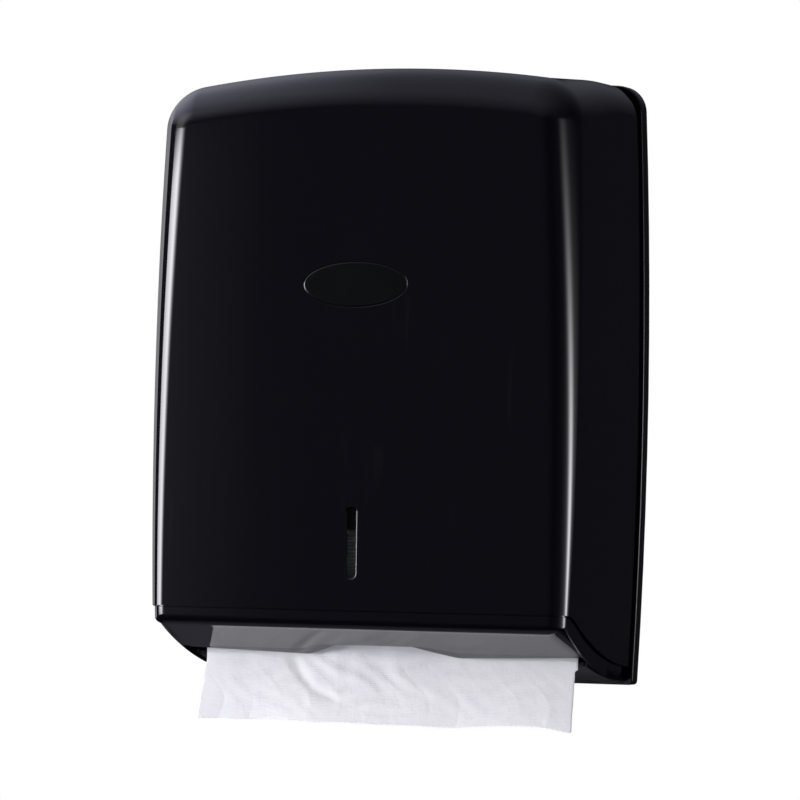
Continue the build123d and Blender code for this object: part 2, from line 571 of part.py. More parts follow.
def make_lock_strike():
    """Bent steel strip: a base on the back plate, an arm forward and an upright tab for the cam."""
    low = STRIKE_X - STRIKE_WIDTH / 2
    high = STRIKE_X + STRIKE_WIDTH / 2
    tab_front = STRIKE_TAB_Y - STRIKE_THICKNESS
    arm_bottom = STRIKE_ARM_TOP - STRIKE_THICKNESS
    base_low = STRIKE_X - STRIKE_BASE_WIDTH / 2
    base_high = STRIKE_X + STRIKE_BASE_WIDTH / 2
    base_face = -STRIKE_SEAT - STRIKE_THICKNESS
    strike = block((low, tab_front, arm_bottom), (high, -STRIKE_SEAT, STRIKE_ARM_TOP))
    strike += block((low, tab_front, arm_bottom), (high, STRIKE_TAB_Y, STRIKE_ARM_TOP + STRIKE_TAB_HEIGHT))
    strike += block(
        (base_low, base_face, STRIKE_BASE_TOP - STRIKE_BASE_HEIGHT), (base_high, -STRIKE_SEAT, STRIKE_BASE_TOP)
    )
    for seat in strike_screw_seats():
        strike -= rod((seat[0], 0, seat[2]), OUT_OF_WALL, DEPTH / 4, SCREW_HOLE_RADIUS)
    return strike


def make_towel_stack():
    """Folded towels, with the round of each fold along the front and the rear."""
    top = STACK_FLOOR + STACK_FOLDS * STACK_FOLD_HEIGHT
    front_folds = []
    rear_folds = []
    for fold in range(STACK_FOLDS):
        low = STACK_FLOOR + fold * STACK_FOLD_HEIGHT
        middle = low + STACK_FOLD_HEIGHT / 2
        high = low + STACK_FOLD_HEIGHT
        front_inner = STACK_FRONT + STACK_FOLD_BULGE
        rear_inner = STACK_REAR - STACK_FOLD_BULGE
        front_folds.append(ThreePointArc((front_inner, low), (STACK_FRONT, middle), (front_inner, high)))
        rear_folds.append(ThreePointArc((rear_inner, low), (STACK_REAR, middle), (rear_inner, high)))
    bottom_line = Line((front_inner, STACK_FLOOR), (rear_inner, STACK_FLOOR))
    top_line = Line((front_inner, top), (rear_inner, top))
    profile = make_face(Curve() + front_folds + rear_folds + [bottom_line, top_line])
    return across(profile, TOWEL_WIDTH / 2)


def sheet_edge(y):
    """Plan of one face of the hanging towel: a shallow dent in the middle between two waves."""
    half = TOWEL_WIDTH / 2
    dent = SHEET_DENT_HALF_WIDTH
    wave_middle = (half + dent) / 2
    return [
        ThreePointArc((-half, y), (-wave_middle, y + SHEET_SIDE_WAVE), (-dent, y)),
        ThreePointArc((-dent, y), (0, y - SHEET_DENT), (dent, y)),
        ThreePointArc((dent, y), (wave_middle, y + SHEET_SIDE_WAVE), (half, y)),
    ]


def make_leading_towel():
    """Towel that hangs through the slot, with its three shallow folds."""
    half = TOWEL_WIDTH / 2
    front = SHEET_Y - SHEET_THICKNESS / 2
    back = SHEET_Y + SHEET_THICKNESS / 2
    ends = [Line((side * half, front), (side * half, back)) for side in (-1, 1)]
    plan = make_face(Curve() + sheet_edge(front) + sheet_edge(back) + ends)
    return Pos(0, 0, -SHEET_DROP) * extrude(plan, amount=SHEET_TOP + SHEET_DROP)


os.makedirs("parts", exist_ok=True)
write("back_plate", make_back_plate())
write("front_cover", make_cover())
write("outlet_tray", make_outlet_tray())
write("badge_plate", make_badge_plate())
write("level_window", make_level_window())
write("left_hinge_pin", make_hinge_pin(-1))
write("right_hinge_pin", make_hinge_pin(1))
write("lock_barrel", make_lock_barrel())
write("lock_core", make_lock_core())
write("lock_cam", make_lock_cam())
write("cam_screw", make_cam_screw())
write("lock_washer", make_lock_washer())
write("lock_nut", make_lock_nut())
write("lock_strike", make_lock_strike())
write("left_stack_guide", make_stack_guide(-1))
write("right_stack_guide", make_stack_guide(1))
write("towel_stack", make_towel_stack())
write("leading_towel", make_leading_towel())
for group, (group_seats, held_thickness) in screw_groups().items():
    write(group, make_screws(group_seats, held_thickness))
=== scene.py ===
from math import cos, pi, radians, sin, sqrt

import bmesh
import bpy
import numpy as np
from mathutils import Matrix, Vector


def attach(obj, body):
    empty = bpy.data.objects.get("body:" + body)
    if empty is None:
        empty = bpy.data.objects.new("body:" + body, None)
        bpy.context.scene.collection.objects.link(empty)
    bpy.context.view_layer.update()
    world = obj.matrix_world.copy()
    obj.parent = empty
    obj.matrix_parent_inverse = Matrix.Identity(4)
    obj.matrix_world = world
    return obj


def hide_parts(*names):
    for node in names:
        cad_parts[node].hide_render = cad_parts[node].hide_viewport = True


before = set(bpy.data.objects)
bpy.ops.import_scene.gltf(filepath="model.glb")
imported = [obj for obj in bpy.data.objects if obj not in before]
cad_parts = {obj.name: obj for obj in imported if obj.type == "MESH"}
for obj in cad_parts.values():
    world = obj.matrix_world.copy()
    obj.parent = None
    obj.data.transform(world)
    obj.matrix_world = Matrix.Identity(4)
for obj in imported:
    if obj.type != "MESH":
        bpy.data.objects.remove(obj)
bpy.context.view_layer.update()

# Wall dispenser for folded paper towels, dressed around its solids.
# Sizes are millimetres, and levels are heights above the back plate's lower edge, until to_frame() turns
# them into the frame's metres.
MILLIMETRE = 0.001
ORIGIN_LEVEL = 178.0

# Outline of the cover: its arch and corners change from the rear edge to the front
WIDTH = 270.0
HEIGHT = 356.0
DEPTH = 120.0
SIDE_BOW = 4.7
SIDE_RADIUS = ((HEIGHT / 2) ** 2 + SIDE_BOW**2) / (2 * SIDE_BOW)
SIDE_CENTRE_X = WIDTH / 2 - SIDE_RADIUS
REAR_ARCH_RADIUS = 1500.0
FRONT_ARCH_RADIUS = 765.0
REAR_CORNER_RADIUS = 24.0
FRONT_CORNER_RADIUS = 27.0

# Cover
COVER_WALL = 2.0
LIP_WALL = 0.9
REAR_SHARE = 0.2
COVER_REAR = 15.9
COVER_BROKEN_EDGE = 0.45
FRONT_ROUND_FOOT = 9.6
FRONT_ROUND_GROWTH = 0.036
FRONT_ROUND_TOP_EXTRA = 2.6
FRONT_ROUND_TOP_LEVEL = 325.0
FRONT_ROUND_TOP_RUN = 31.0
HULL_AXIS_Y = -1.0
HULL_AXIS_LEVEL = 195.4
HULL_RADIUS = 194.0
SEAM_RADIUS = 185.0
SEAM_BLEND = 45.0
LIP_HEIGHT = 2.0
TRAY_FRONT = 117.6
BADGE_LEVEL = 229.6
BADGE_HALF_WIDTH = 33.2
BADGE_HALF_HEIGHT = 13.2
BADGE_RECESS = 0.9
BADGE_EDGE = 0.3
BADGE_PLATE_HALF_WIDTH = 33.0
BADGE_PLATE_HALF_HEIGHT = 13.0
BADGE_PLATE_FRONT = -119.7
BADGE_PLATE_BACK = -119.1
BADGE_PLATE_EDGE_IN = 1.0
BADGE_PLATE_EDGE_DEEP = 0.5
BADGE_PLATE_FACE_WIDTHS = (30.0, 15.0, 0.0)
BADGE_PLATE_FACE_HEIGHTS = (10.0, 5.0, 0.0)
BADGE_PLATE_BROKEN_EDGE = 0.05
WINDOW_LEVEL = 81.0
WINDOW_RADIUS = 2.95
WINDOW_HALF_CORE = 17.5
WINDOW_EDGE = 1.05
STRIP_GAP = 0.1
STRIP_FLANGE = 5.1
STRIP_BACK = -116.5
STRIP_FRONT = -119.0
STRIP_EDGE_IN = 0.5
STRIP_EDGE_DEEP = 0.3
STRIP_BROKEN_EDGE = 0.1
STRIP_LOOP = (20.0, 0.0, 30.0)
FRONT_SPLIT_LEVEL = 150.0
LOCK_Y = -42.0
LOCK_HOLE_RADIUS = 10.1
LOCK_HOLE_REACH = 10.0
LOCK_BORE_RADIUS = 7.1
LOCK_BOSS_RADIUS = 13.0
LOCK_SEAT_LEVEL = 354.4
LOCK_BOSS_LEVEL = 350.4
LOCK_BOSS_RIM_DROP = 0.2
LOCK_BOSS_BORE_DROP = 0.05
LOCK_BOSS_BROKEN_EDGE = 0.2
HINGE_Y = -24.0
HINGE_LEVEL = 16.635
HINGE_LUG_RADIUS = 4.5
HINGE_BORE_RADIUS = 2.05
HINGE_BORE_DEPTH = 5.0
HINGE_LUG_INNER = 122.44
HINGE_LUG_OUTER = 130.2
HINGE_LUG_BROKEN_EDGE = 0.3

# Front band of the tray
BAND_INSET = 1.3
BAND_REAR_INSET = 0.45
BAND_INSET_STARTS_Y = -100.0
BAND_INSET_RUN = 40.0
BAND_TOP_ABOVE_SEAM = 0.4
BAND_FOOT_LEVEL = 31.0
BAND_ROUND_IN = 5.0
BAND_ROUND_UP = 6.5
BAND_SIDE_ROUND = 0.7
BAND_PANEL_HALF = 120.5
BAND_CHEEK_WIDTH = 8.8
BAND_GROOVE = 0.6
BAND_GROOVE_FOOT = 0.5
BAND_REAR_Y = -44.0
BAND_FRONT_MEETS_Y = -80.0
BAND_SCALLOP_MEETS_Y = -88.5
BAND_SCALLOP_HALF = 30.0
BAND_SCALLOP_BLEND = 24.0
BAND_INNER_X = 128.6
BAND_BACK_PULL = 2.95
BAND_COVERS_HULL = 0.25
BAND_IN_WALL = 1.0
BAND_LEAST = 0.1

# Towels
SHEET_HALF_WIDTH = 120.0
SHEET_Y = -68.4
SHEET_TOP = 36.6
SHEET_FOOT = -25.0
SHEET_THICKNESS = 0.5
SHEET_BEND_LEVEL = 14.0
SHEET_BEND_RUN = 39.0
SHEET_SWING = 4.2
SHEET_SWING_POWER = 1.3
SHEET_HELD_SHARE = 0.2
SHEET_WAVES = 0.7
SHEET_WRINKLES = 0.6
SHEET_EDGE_POWER = 8
SWELL_X = -12.0
SWELL_LEVEL = 14.0
SWELL_HALF_WIDTH = 43.0
SWELL_HALF_HEIGHT = 25.0
SWELL_FORWARD = 3.0
SWELL_FADES_AT = 1.3
SWELL_FLATTENS = 0.3
CRUMPLE_FADES_AT = 1.4
CRUMPLE_LEAST = 0.2
CRUMPLE_IN_SWELL = 0.35
CREASE_REACH = 1.1
CREASE_WIDTH = 0.1
CREASE_DEEP = 1.5
CREASE_STARTS_X = -22.0
CREASE_RUN = 16.0
FLAP_LEVEL = 9.0
FLAP_OUT = 1.9
RIGHT_EDGE_IN = 0.9
LEFT_EDGE_IN = 2.3
LEFT_EDGE_OUT = 3.1
STACK_FLOOR = 37.0
STACK_FRONT = -108.4
STACK_REAR = -24.4
STACK_LAYERS = 50
STACK_PITCH = 1.03
STACK_THICKNESS = 0.6
STACK_MARGIN = 2.2
STACK_DRIFT = 0.6
STACK_FOLD_REACH = 1.4
STACK_SIDE_INSET = 0.7
STACK_SIDE_DRIFT = 0.5
STACK_SAG = 0.9

# Angles at which smooth shading breaks, and distances in metres at which points are sewn or dropped
SHARP_DEGREES = 38.0
PAPER_SHARP_DEGREES = 80.0
SEWN_WITHIN = 2e-6
DROPPED_WITHIN = 1e-7

# Steps of the grids
SIDE_STEPS = 84
CORNER_STEPS = 26
ARCH_STEPS = 44
STRAIGHT_STEPS = 46
ROUND_STEPS = 26
FRONT_STEPS = 64
RING_STEPS = 6
LATHE_STEPS = 72
LOCK_HOLE_STEPS = 96
HINGE_LUG_STEPS = 48
BADGE_STEPS = 180
BADGE_EDGE_STEPS = 5
BADGE_PLATE_EDGE_STEPS = 9
WINDOW_EDGE_STEPS = 8
STRIP_STEPS = 96
STRIP_EDGE_STEPS = 9
BAND_SIDE_STEPS = 30
BAND_CORNER_STEPS = 24
BAND_ROUND_STEPS = 14
BAND_UNDER_STEPS = 13
BAND_BACK_STEPS = 7
SHEET_COLUMNS = 241
SHEET_ROWS = 81
STACK_COLUMNS = 33
STACK_RUN_STEPS = 15
STACK_FOLD_STEPS = 7


def smooth_step(value):
    """0 below 0, 1 above 1, and 3 t squared less 2 t cubed between."""
    t = np.clip(value, 0, 1)
    return t * t * (3 - 2 * t)


def to_frame(points):
    """Points in millimetres with levels, as metres in the frame."""
    return (np.asarray(points, float) - (0, 0, ORIGIN_LEVEL)) * MILLIMETRE


class Shape:
    """Grids of points that are sewn into one mesh where their edges coincide."""

    def __init__(self):
        self.points = []
        self.quads = []
        self.count = 0

    def grid(self, points, closed=False):
        """Adds an array of rows by columns by three; closed joins its last column to its first."""
        points = np.asarray(points, float)
        rows, columns = points.shape[:2]
        index = np.arange(rows * columns).reshape(rows, columns) + self.count
        if closed:
            index = np.concatenate([index, index[:, :1]], axis=1)
        corners = (index[:-1, :-1], index[:-1, 1:], index[1:, 1:], index[1:, :-1])
        self.quads.append(np.stack(corners, axis=-1).reshape(-1, 4))
        self.points.append(points.reshape(-1, 3))
        self.count += rows * columns

    def make(self, name, sharp_degrees=SHARP_DEGREES):
        """Sews the grids, turns all faces outwards and returns the smooth-shaded object."""
        mesh = bpy.data.meshes.new(name)
        points = to_frame(np.concatenate(self.points))
        mesh.from_pydata(points.tolist(), [], np.concatenate(self.quads).tolist())
        work = bmesh.new()
        work.from_mesh(mesh)
        bmesh.ops.remove_doubles(work, verts=work.verts, dist=SEWN_WITHIN)
        bmesh.ops.dissolve_degenerate(work, edges=work.edges, dist=DROPPED_WITHIN)
        bmesh.ops.recalc_face_normals(work, faces=work.faces)
        work.to_mesh(mesh)
        work.free()
        piece = bpy.data.objects.new(name, mesh)
        bpy.context.scene.collection.objects.link(piece)
        shade(piece, sharp_degrees)
        return piece


def shade(piece, sharp_degrees):
    """Smooth shading that breaks where faces meet at more than an angle."""
    mesh = piece.data
    mesh.polygons.foreach_set("use_smooth", np.ones(len(mesh.polygons), bool))
    mesh.set_sharp_from_angle(angle=radians(sharp_degrees))


def lathe(shape, profile, centre, axis, steps=LATHE_STEPS):
    """Turns a profile of distances along an axis and radii about it, and adds the surface to a shape.

    A point is centre + along * axis + radius * (cos a * side + sin a * up) for a full turn of a."""
    axis = np.array(axis, float)
    side = np.array((axis[1], axis[2], axis[0]))
    up = np.cross(axis, side)
    along, radius = np.array(profile, float).T
    angle = np.linspace(0, 2 * pi, steps, endpoint=False)
    ring = np.cos(angle)[:, None] * side + np.sin(angle)[:, None] * up
    points = np.array(centre) + along[:, None, None] * axis + radius[:, None, None] * ring
    shape.grid(points, closed=True)


def cut(piece, tool):
    """Takes a tool's volume out of a piece and removes the tool."""
    change = piece.modifiers.new("cut", "BOOLEAN")
    change.operation = "DIFFERENCE"
    change.solver = "EXACT"
    change.object = tool
    graph = bpy.context.evaluated_depsgraph_get()
    result = bpy.data.meshes.new_from_object(piece.evaluated_get(graph))
    piece.modifiers.clear()
    piece.data = result
    bpy.data.objects.remove(tool)


def weigh_normals(piece):
    """Lets large faces set the normals beside them."""
    normals = piece.modifiers.new("face_normals", "WEIGHTED_NORMAL")
    normals.keep_sharp = True


def finish_edges(piece, width, degrees=50.0):
    """Breaks the sharp edges by a small round and lets large faces set the normals beside them."""
    bevel = piece.modifiers.new("broken_edges", "BEVEL")
    bevel.width = width * MILLIMETRE
    bevel.segments = 2
    bevel.limit_method = "ANGLE"
    bevel.angle_limit = radians(degrees)
    weigh_normals(piece)


def corner_centre(arch, corner):
    """Centre of the top right corner's arc, which touches the side's and the arch's arcs from inside."""
    side_reach = SIDE_RADIUS - corner
    arch_reach = arch - corner
    across_x = -SIDE_CENTRE_X
    across_level = HEIGHT / 2 - arch
    apart = np.hypot(across_x, across_level)
    along = (side_reach**2 - arch_reach**2 + apart**2) / (2 * apart)
    aside = np.sqrt(side_reach**2 - along**2)
    x = SIDE_CENTRE_X + (along * across_x - aside * across_level) / apart
    level = HEIGHT / 2 + (along * across_level + aside * across_x) / apart
    return x, level


SEAM_LEVEL = HULL_AXIS_LEVEL - sqrt(HULL_RADIUS**2 - (TRAY_FRONT + HULL_AXIS_Y) ** 2) + LIP_HEIGHT
BLEND_LEVEL = SEAM_LEVEL - SEAM_BLEND
BLEND_Y = HULL_AXIS_Y - sqrt((SEAM_RADIUS + SEAM_BLEND) ** 2 - (HULL_AXIS_LEVEL - BLEND_LEVEL) ** 2)
BLEND_END_Y = HULL_AXIS_Y + (BLEND_Y - HULL_AXIS_Y) * SEAM_RADIUS / (SEAM_RADIUS + SEAM_BLEND)


def seam_level(y):
    """Level of the cover's lower edge: flat in front, a blending arc, a circle about the hull's axis."""
    blend = BLEND_LEVEL + np.sqrt(np.maximum(SEAM_BLEND**2 - (y - BLEND_Y) ** 2, 0))
    circle = HULL_AXIS_LEVEL - np.sqrt(SEAM_RADIUS**2 - (y - HULL_AXIS_Y) ** 2)
    return np.where(y < BLEND_Y, SEAM_LEVEL, np.where(y < BLEND_END_Y, blend, circle))


def front_round(level):
    """Radius between the sides and the front: it grows with the level, and a little more along the top."""
    along_top = smooth_step((level - FRONT_ROUND_TOP_LEVEL) / FRONT_ROUND_TOP_RUN)
    return FRONT_ROUND_FOOT + FRONT_ROUND_GROWTH * level + FRONT_ROUND_TOP_EXTRA * along_top


def half_width(level, inset):
    """Half the outline's width at a level of its bowed sides, drawn in by inset."""
    return SIDE_CENTRE_X + np.sqrt((SIDE_RADIUS - inset) ** 2 - (level - HEIGHT / 2) ** 2)


def half_outline(inset, foot, to_front):
    """Right half of the outline from the foot to the middle of the top, drawn in by inset.

    The arrays have a row per step of the section and a column per step along the outline. Side, corner and
    arch are arcs that touch, so an inset only shortens their radii. The arch's curvature and the corner's
    radius go from their rear to their front values as to_front goes from 0 to 1 down the rows."""
    arch = 1 / ((1 - to_front) / REAR_ARCH_RADIUS + to_front / FRONT_ARCH_RADIUS)
    corner = REAR_CORNER_RADIUS + (FRONT_CORNER_RADIUS - REAR_CORNER_RADIUS) * to_front
    centre_x, centre_level = corner_centre(arch, corner)
    side_tangent = np.arctan2(centre_level - HEIGHT / 2, centre_x - SIDE_CENTRE_X)
    arch_tangent = np.arctan2(centre_level - HEIGHT + arch, centre_x)
    splits = [SIDE_STEPS, SIDE_STEPS + CORNER_STEPS]
    side_inset, corner_inset, arch_inset = np.split(inset, splits, axis=1)
    share = np.linspace(0, 1, SIDE_STEPS)
    tangent = centre_level + (corner - side_inset) * np.sin(side_tangent)
    side_foot = foot[:, :SIDE_STEPS]
    side_level = side_foot + share * (tangent - side_foot)
    side_x = half_width(side_level, side_inset)
    share = np.linspace(0, 1, CORNER_STEPS + 1)[1:]
    turn = side_tangent + share * (arch_tangent - side_tangent)
    corner_x = centre_x + (corner - corner_inset) * np.cos(turn)
    corner_level = centre_level + (corner - corner_inset) * np.sin(turn)
    share = np.linspace(0, 1, ARCH_STEPS + 1)[1:]
    turn = arch_tangent + share * (pi / 2 - arch_tangent)
    arch_x = (arch - arch_inset) * np.cos(turn)
    arch_level = HEIGHT - arch + (arch - arch_inset) * np.sin(turn)
    x = np.concatenate([side_x, corner_x, arch_x], axis=1)
    level = np.concatenate([side_level, corner_level, arch_level], axis=1)
    return x, level


def cover_skin(wall, lip):
    """Sides, top and front round of the cover, drawn in from its outside by wall, and at the foot by lip.

    Each section runs straight forward from the rear edge and then turns through a quarter circle of radius
    front_round - wall. Rows follow the section, and columns the outline from the left foot to the right."""
    columns = SIDE_STEPS + CORNER_STEPS + ARCH_STEPS
    wall = np.where(np.arange(columns) == 0, lip, wall)[None, :]
    no_inset = np.zeros((1, columns))
    front_foot = np.full((1, columns), SEAM_LEVEL)
    level = half_outline(no_inset, front_foot, np.ones((1, 1)))[1]
    radius = front_round(level)
    advance = np.concatenate([np.linspace(0, 1, STRAIGHT_STEPS), np.ones(ROUND_STEPS)])[:, None]
    quarter = np.linspace(0, pi / 2, ROUND_STEPS + 1)[1:]
    turn = np.concatenate([np.zeros(STRAIGHT_STEPS), quarter])[:, None]
    y = -COVER_REAR - advance * (DEPTH - radius - COVER_REAR) - (radius - wall) * np.sin(turn)
    inset = wall + (radius - wall) * (1 - np.cos(turn))
    to_front = smooth_step((advance - REAR_SHARE) / (1 - REAR_SHARE))
    x, level = half_outline(inset, seam_level(y), to_front)
    right = np.stack([x, y, level], axis=-1)
    left = right * (-1, 1, 1)
    return np.concatenate([left, right[:, -2::-1]], axis=1)


def line(start, end, steps):
    """Points between two others, without the two."""
    share = np.linspace(0, 1, steps)[1:-1, None]
    return np.asarray(start) * (1 - share) + np.asarray(end) * share


def front_loops(skin):
    """The two loops that bound the flat front's upper and lower part, clockwise from the upper left."""
    edge = skin[-1]
    split = int(np.argmin(np.abs(edge[:SIDE_STEPS, 2] - FRONT_SPLIT_LEVEL)))
    left, right = edge[split], edge[-1 - split]
    upper = np.concatenate([edge[split : len(edge) - split], line(right, left, FRONT_STEPS)])
    foot = line(edge[-1], edge[0], FRONT_STEPS)
    right_side = edge[len(edge) - 1 - split :]
    left_side = edge[: split + 1]
    lower = np.concatenate([right_side, foot, left_side, line(left, right, FRONT_STEPS)])
    return upper, lower


def oval(loop, y, grow):
    """Points of the badge's oval, grown by a margin, in the directions of a loop around it."""
    wide, high = BADGE_HALF_WIDTH + grow, BADGE_HALF_HEIGHT + grow
    angle = np.arctan2((loop[:, 2] - BADGE_LEVEL) / high, loop[:, 0] / wide)
    x = wide * np.cos(angle)
    level = BADGE_LEVEL + high * np.sin(angle)
    return np.stack([x, np.full(len(loop), y), level], axis=-1)


def upright_slot(loop, y, grow):
    """Points of the sight slot, grown by a margin, nearest to the points of a loop around it."""
    core = WINDOW_LEVEL + np.clip(loop[:, 2] - WINDOW_LEVEL, -WINDOW_HALF_CORE, WINDOW_HALF_CORE)
    away = np.stack([loop[:, 0], loop[:, 2] - core], axis=-1)
    away *= (WINDOW_RADIUS + grow) / np.linalg.norm(away, axis=1, keepdims=True)
    return np.stack([away[:, 0], np.full(len(loop), y), core + away[:, 1]], axis=-1)


def ring(outer, inner):
    """Straight lines from each point of a loop to the matching point of another, in a few steps."""
    share = np.linspace(0, 1, RING_STEPS)[:, None, None]
    return outer * (1 - share) + inner * share


def rounded_rings(outline, loop, radius, steps):
    """Rings of an opening's outline that turn from the front face into the opening by a quarter circle."""
    turn = np.linspace(0, pi / 2, steps)
    return [outline(loop, -DEPTH + radius * (1 - cos(a)), radius * (1 - sin(a))) for a in turn]


def make_cover():
    """Glossy shell: outside and inside skins, joined along the rear edge, the lip and the sight slot."""
    shape = Shape()
    outside = cover_skin(0.0, 0.0)
    inside = cover_skin(COVER_WALL, LIP_WALL)
    shape.grid(outside)
    shape.grid(inside)
    shape.grid(np.stack([outside[0], inside[0]]))
    lips = []
    for skin in (outside, inside):
        foot = line(skin[-1, 0], skin[-1, -1], FRONT_STEPS)
        lips.append(np.concatenate([skin[:, 0], foot, skin[::-1, -1]]))
    shape.grid(np.stack(lips))
    upper, lower = front_loops(outside)
    upper_inside, lower_inside = front_loops(inside)
    shape.grid(ring(upper, oval(upper, -DEPTH, BADGE_EDGE)), closed=True)
    recess = rounded_rings(oval, upper, BADGE_EDGE, BADGE_EDGE_STEPS)
    floor = oval(upper, -DEPTH + BADGE_RECESS, 0.0)
    recess.append(floor)
    shape.grid(np.stack(recess), closed=True)
    middle = np.full_like(floor, 0) + (0, -DEPTH + BADGE_RECESS, BADGE_LEVEL)
    shape.grid(ring(floor, middle), closed=True)
    shape.grid(ring(lower, upright_slot(lower, -DEPTH, WINDOW_EDGE)), closed=True)
    slot_wall = rounded_rings(upright_slot, lower, WINDOW_EDGE, WINDOW_EDGE_STEPS)
    slot_wall.append(upright_slot(lower, -DEPTH + COVER_WALL, 0.0))
    shape.grid(np.stack(slot_wall), closed=True)
    shape.grid(ring(slot_wall[-1], lower_inside), closed=True)
    middle = np.full_like(upper_inside, 0) + (0, -DEPTH + COVER_WALL, BADGE_LEVEL)
    shape.grid(ring(upper_inside, middle), closed=True)
    cover = shape.make("cover_shell")
    hole = Shape()
    length = 2 * LOCK_HOLE_REACH
    profile = [(0, 0), (0, LOCK_HOLE_RADIUS), (length, LOCK_HOLE_RADIUS), (length, 0)]
    lathe(hole, profile, (0, LOCK_Y, HEIGHT - LOCK_HOLE_REACH), (0, 0, 1), LOCK_HOLE_STEPS)
    cut(cover, hole.make("lock_hole"))
    shade(cover, SHARP_DEGREES)
    finish_edges(cover, COVER_BROKEN_EDGE)
    return cover


def make_lock_boss():
    """Ring under the cover's top that the lock's flange sits on, turned about the lock's axis."""
    shape = Shape()
    profile = [
        (0.0, LOCK_BORE_RADIUS),
        (0.0, LOCK_BOSS_RADIUS),
        (LOCK_SEAT_LEVEL - LOCK_BOSS_RIM_DROP - LOCK_BOSS_LEVEL, LOCK_BOSS_RADIUS),
        (LOCK_SEAT_LEVEL - LOCK_BOSS_BORE_DROP - LOCK_BOSS_LEVEL, LOCK_BORE_RADIUS),
        (0.0, LOCK_BORE_RADIUS),
    ]
    lathe(shape, profile, (0, LOCK_Y, LOCK_BOSS_LEVEL), (0, 0, 1))
    boss = shape.make("lock_boss")
    finish_edges(boss, LOCK_BOSS_BROKEN_EDGE)
    return boss


def make_hinge_lug(side, name):
    """Blind lug on the cover's inside that turns on a hinge pin."""
    length = HINGE_LUG_OUTER - HINGE_LUG_INNER
    profile = [
        (length, 0.0),
        (length, HINGE_LUG_RADIUS),
        (0.0, HINGE_LUG_RADIUS),
        (0.0, HINGE_BORE_RADIUS),
        (HINGE_BORE_DEPTH, HINGE_BORE_RADIUS),
        (HINGE_BORE_DEPTH, 0.0),
    ]
    shape = Shape()
    lathe(shape, profile, (side * HINGE_LUG_INNER, HINGE_Y, HINGE_LEVEL), (side, 0, 0), HINGE_LUG_STEPS)
    lug = shape.make(name)
    finish_edges(lug, HINGE_LUG_BROKEN_EDGE)
    return lug


def make_badge():
    """Bare oval plate with a rounded edge, as ovals from the middle of its back to that of its front."""
    angle = np.linspace(0, 2 * pi, BADGE_STEPS, endpoint=False)
    turn = np.linspace(0, pi / 2, BADGE_PLATE_EDGE_STEPS)
    inset = BADGE_PLATE_EDGE_IN * (1 - np.cos(turn))
    depth = BADGE_PLATE_FRONT + BADGE_PLATE_EDGE_DEEP * (1 - np.sin(turn))
    back_wide = [0, BADGE_PLATE_HALF_WIDTH]
    back_high = [0, BADGE_PLATE_HALF_HEIGHT]
    back_y = [BADGE_PLATE_BACK] * len(back_wide)
    face_y = [BADGE_PLATE_FRONT] * len(BADGE_PLATE_FACE_WIDTHS)
    wide = np.concatenate([back_wide, BADGE_PLATE_HALF_WIDTH - inset, BADGE_PLATE_FACE_WIDTHS])
    high = np.concatenate([back_high, BADGE_PLATE_HALF_HEIGHT - inset, BADGE_PLATE_FACE_HEIGHTS])
    y = np.concatenate([back_y, depth, face_y])
    x = wide[:, None] * np.cos(angle)
    level = BADGE_LEVEL + high[:, None] * np.sin(angle)
    shape = Shape()
    shape.grid(np.stack([x, y[:, None] + 0 * x, level], axis=-1), closed=True)
    badge = shape.make("oval_badge")
    finish_edges(badge, BADGE_PLATE_BROKEN_EDGE)
    return badge


def make_strip():
    """Smoked strip with a flange behind the cover's wall, as rings from its back to its front.

    Each ring is the slot's outline at a depth, grown or shrunk. A shrink by the slot's radius leaves its
    middle line. The outline's points are those nearest to a wide oval loop around the slot."""
    angle = np.linspace(0, 2 * pi, STRIP_STEPS, endpoint=False) + pi / STRIP_STEPS
    circle = np.stack([np.cos(angle), 0 * angle, np.sin(angle)], axis=-1)
    around = circle * STRIP_LOOP + (0, 0, WINDOW_LEVEL)
    rear_face = -DEPTH + COVER_WALL
    rings = [
        (STRIP_BACK, -WINDOW_RADIUS),
        (STRIP_BACK, STRIP_FLANGE),
        (rear_face, STRIP_FLANGE),
        (rear_face, -STRIP_GAP),
    ]
    for a in np.linspace(0, pi / 2, STRIP_EDGE_STEPS):
        edge_y = STRIP_FRONT + STRIP_EDGE_DEEP * (1 - sin(a))
        rings.append((edge_y, -STRIP_GAP - STRIP_EDGE_IN * (1 - cos(a))))
    rings.append((STRIP_FRONT, -WINDOW_RADIUS))
    shape = Shape()
    shape.grid(np.stack([upright_slot(around, y, grow) for y, grow in rings]), closed=True)
    strip = shape.make("sight_strip")
    finish_edges(strip, STRIP_BROKEN_EDGE)
    return strip


def hull_level(y):
    """Level of the tray's rounded underside."""
    return HULL_AXIS_LEVEL - np.sqrt(HULL_RADIUS**2 - (y - HULL_AXIS_Y) ** 2)


def panel_level(y):
    """Level of the plane under the tray's front, which runs from the front edge to the hull."""
    edge_y = BAND_INSET + BAND_ROUND_IN - DEPTH
    slope = (BAND_FOOT_LEVEL - hull_level(BAND_FRONT_MEETS_Y)) / (BAND_FRONT_MEETS_Y - edge_y)
    return np.where(y < BAND_FRONT_MEETS_Y, BAND_FOOT_LEVEL - slope * (y - edge_y), hull_level(y))


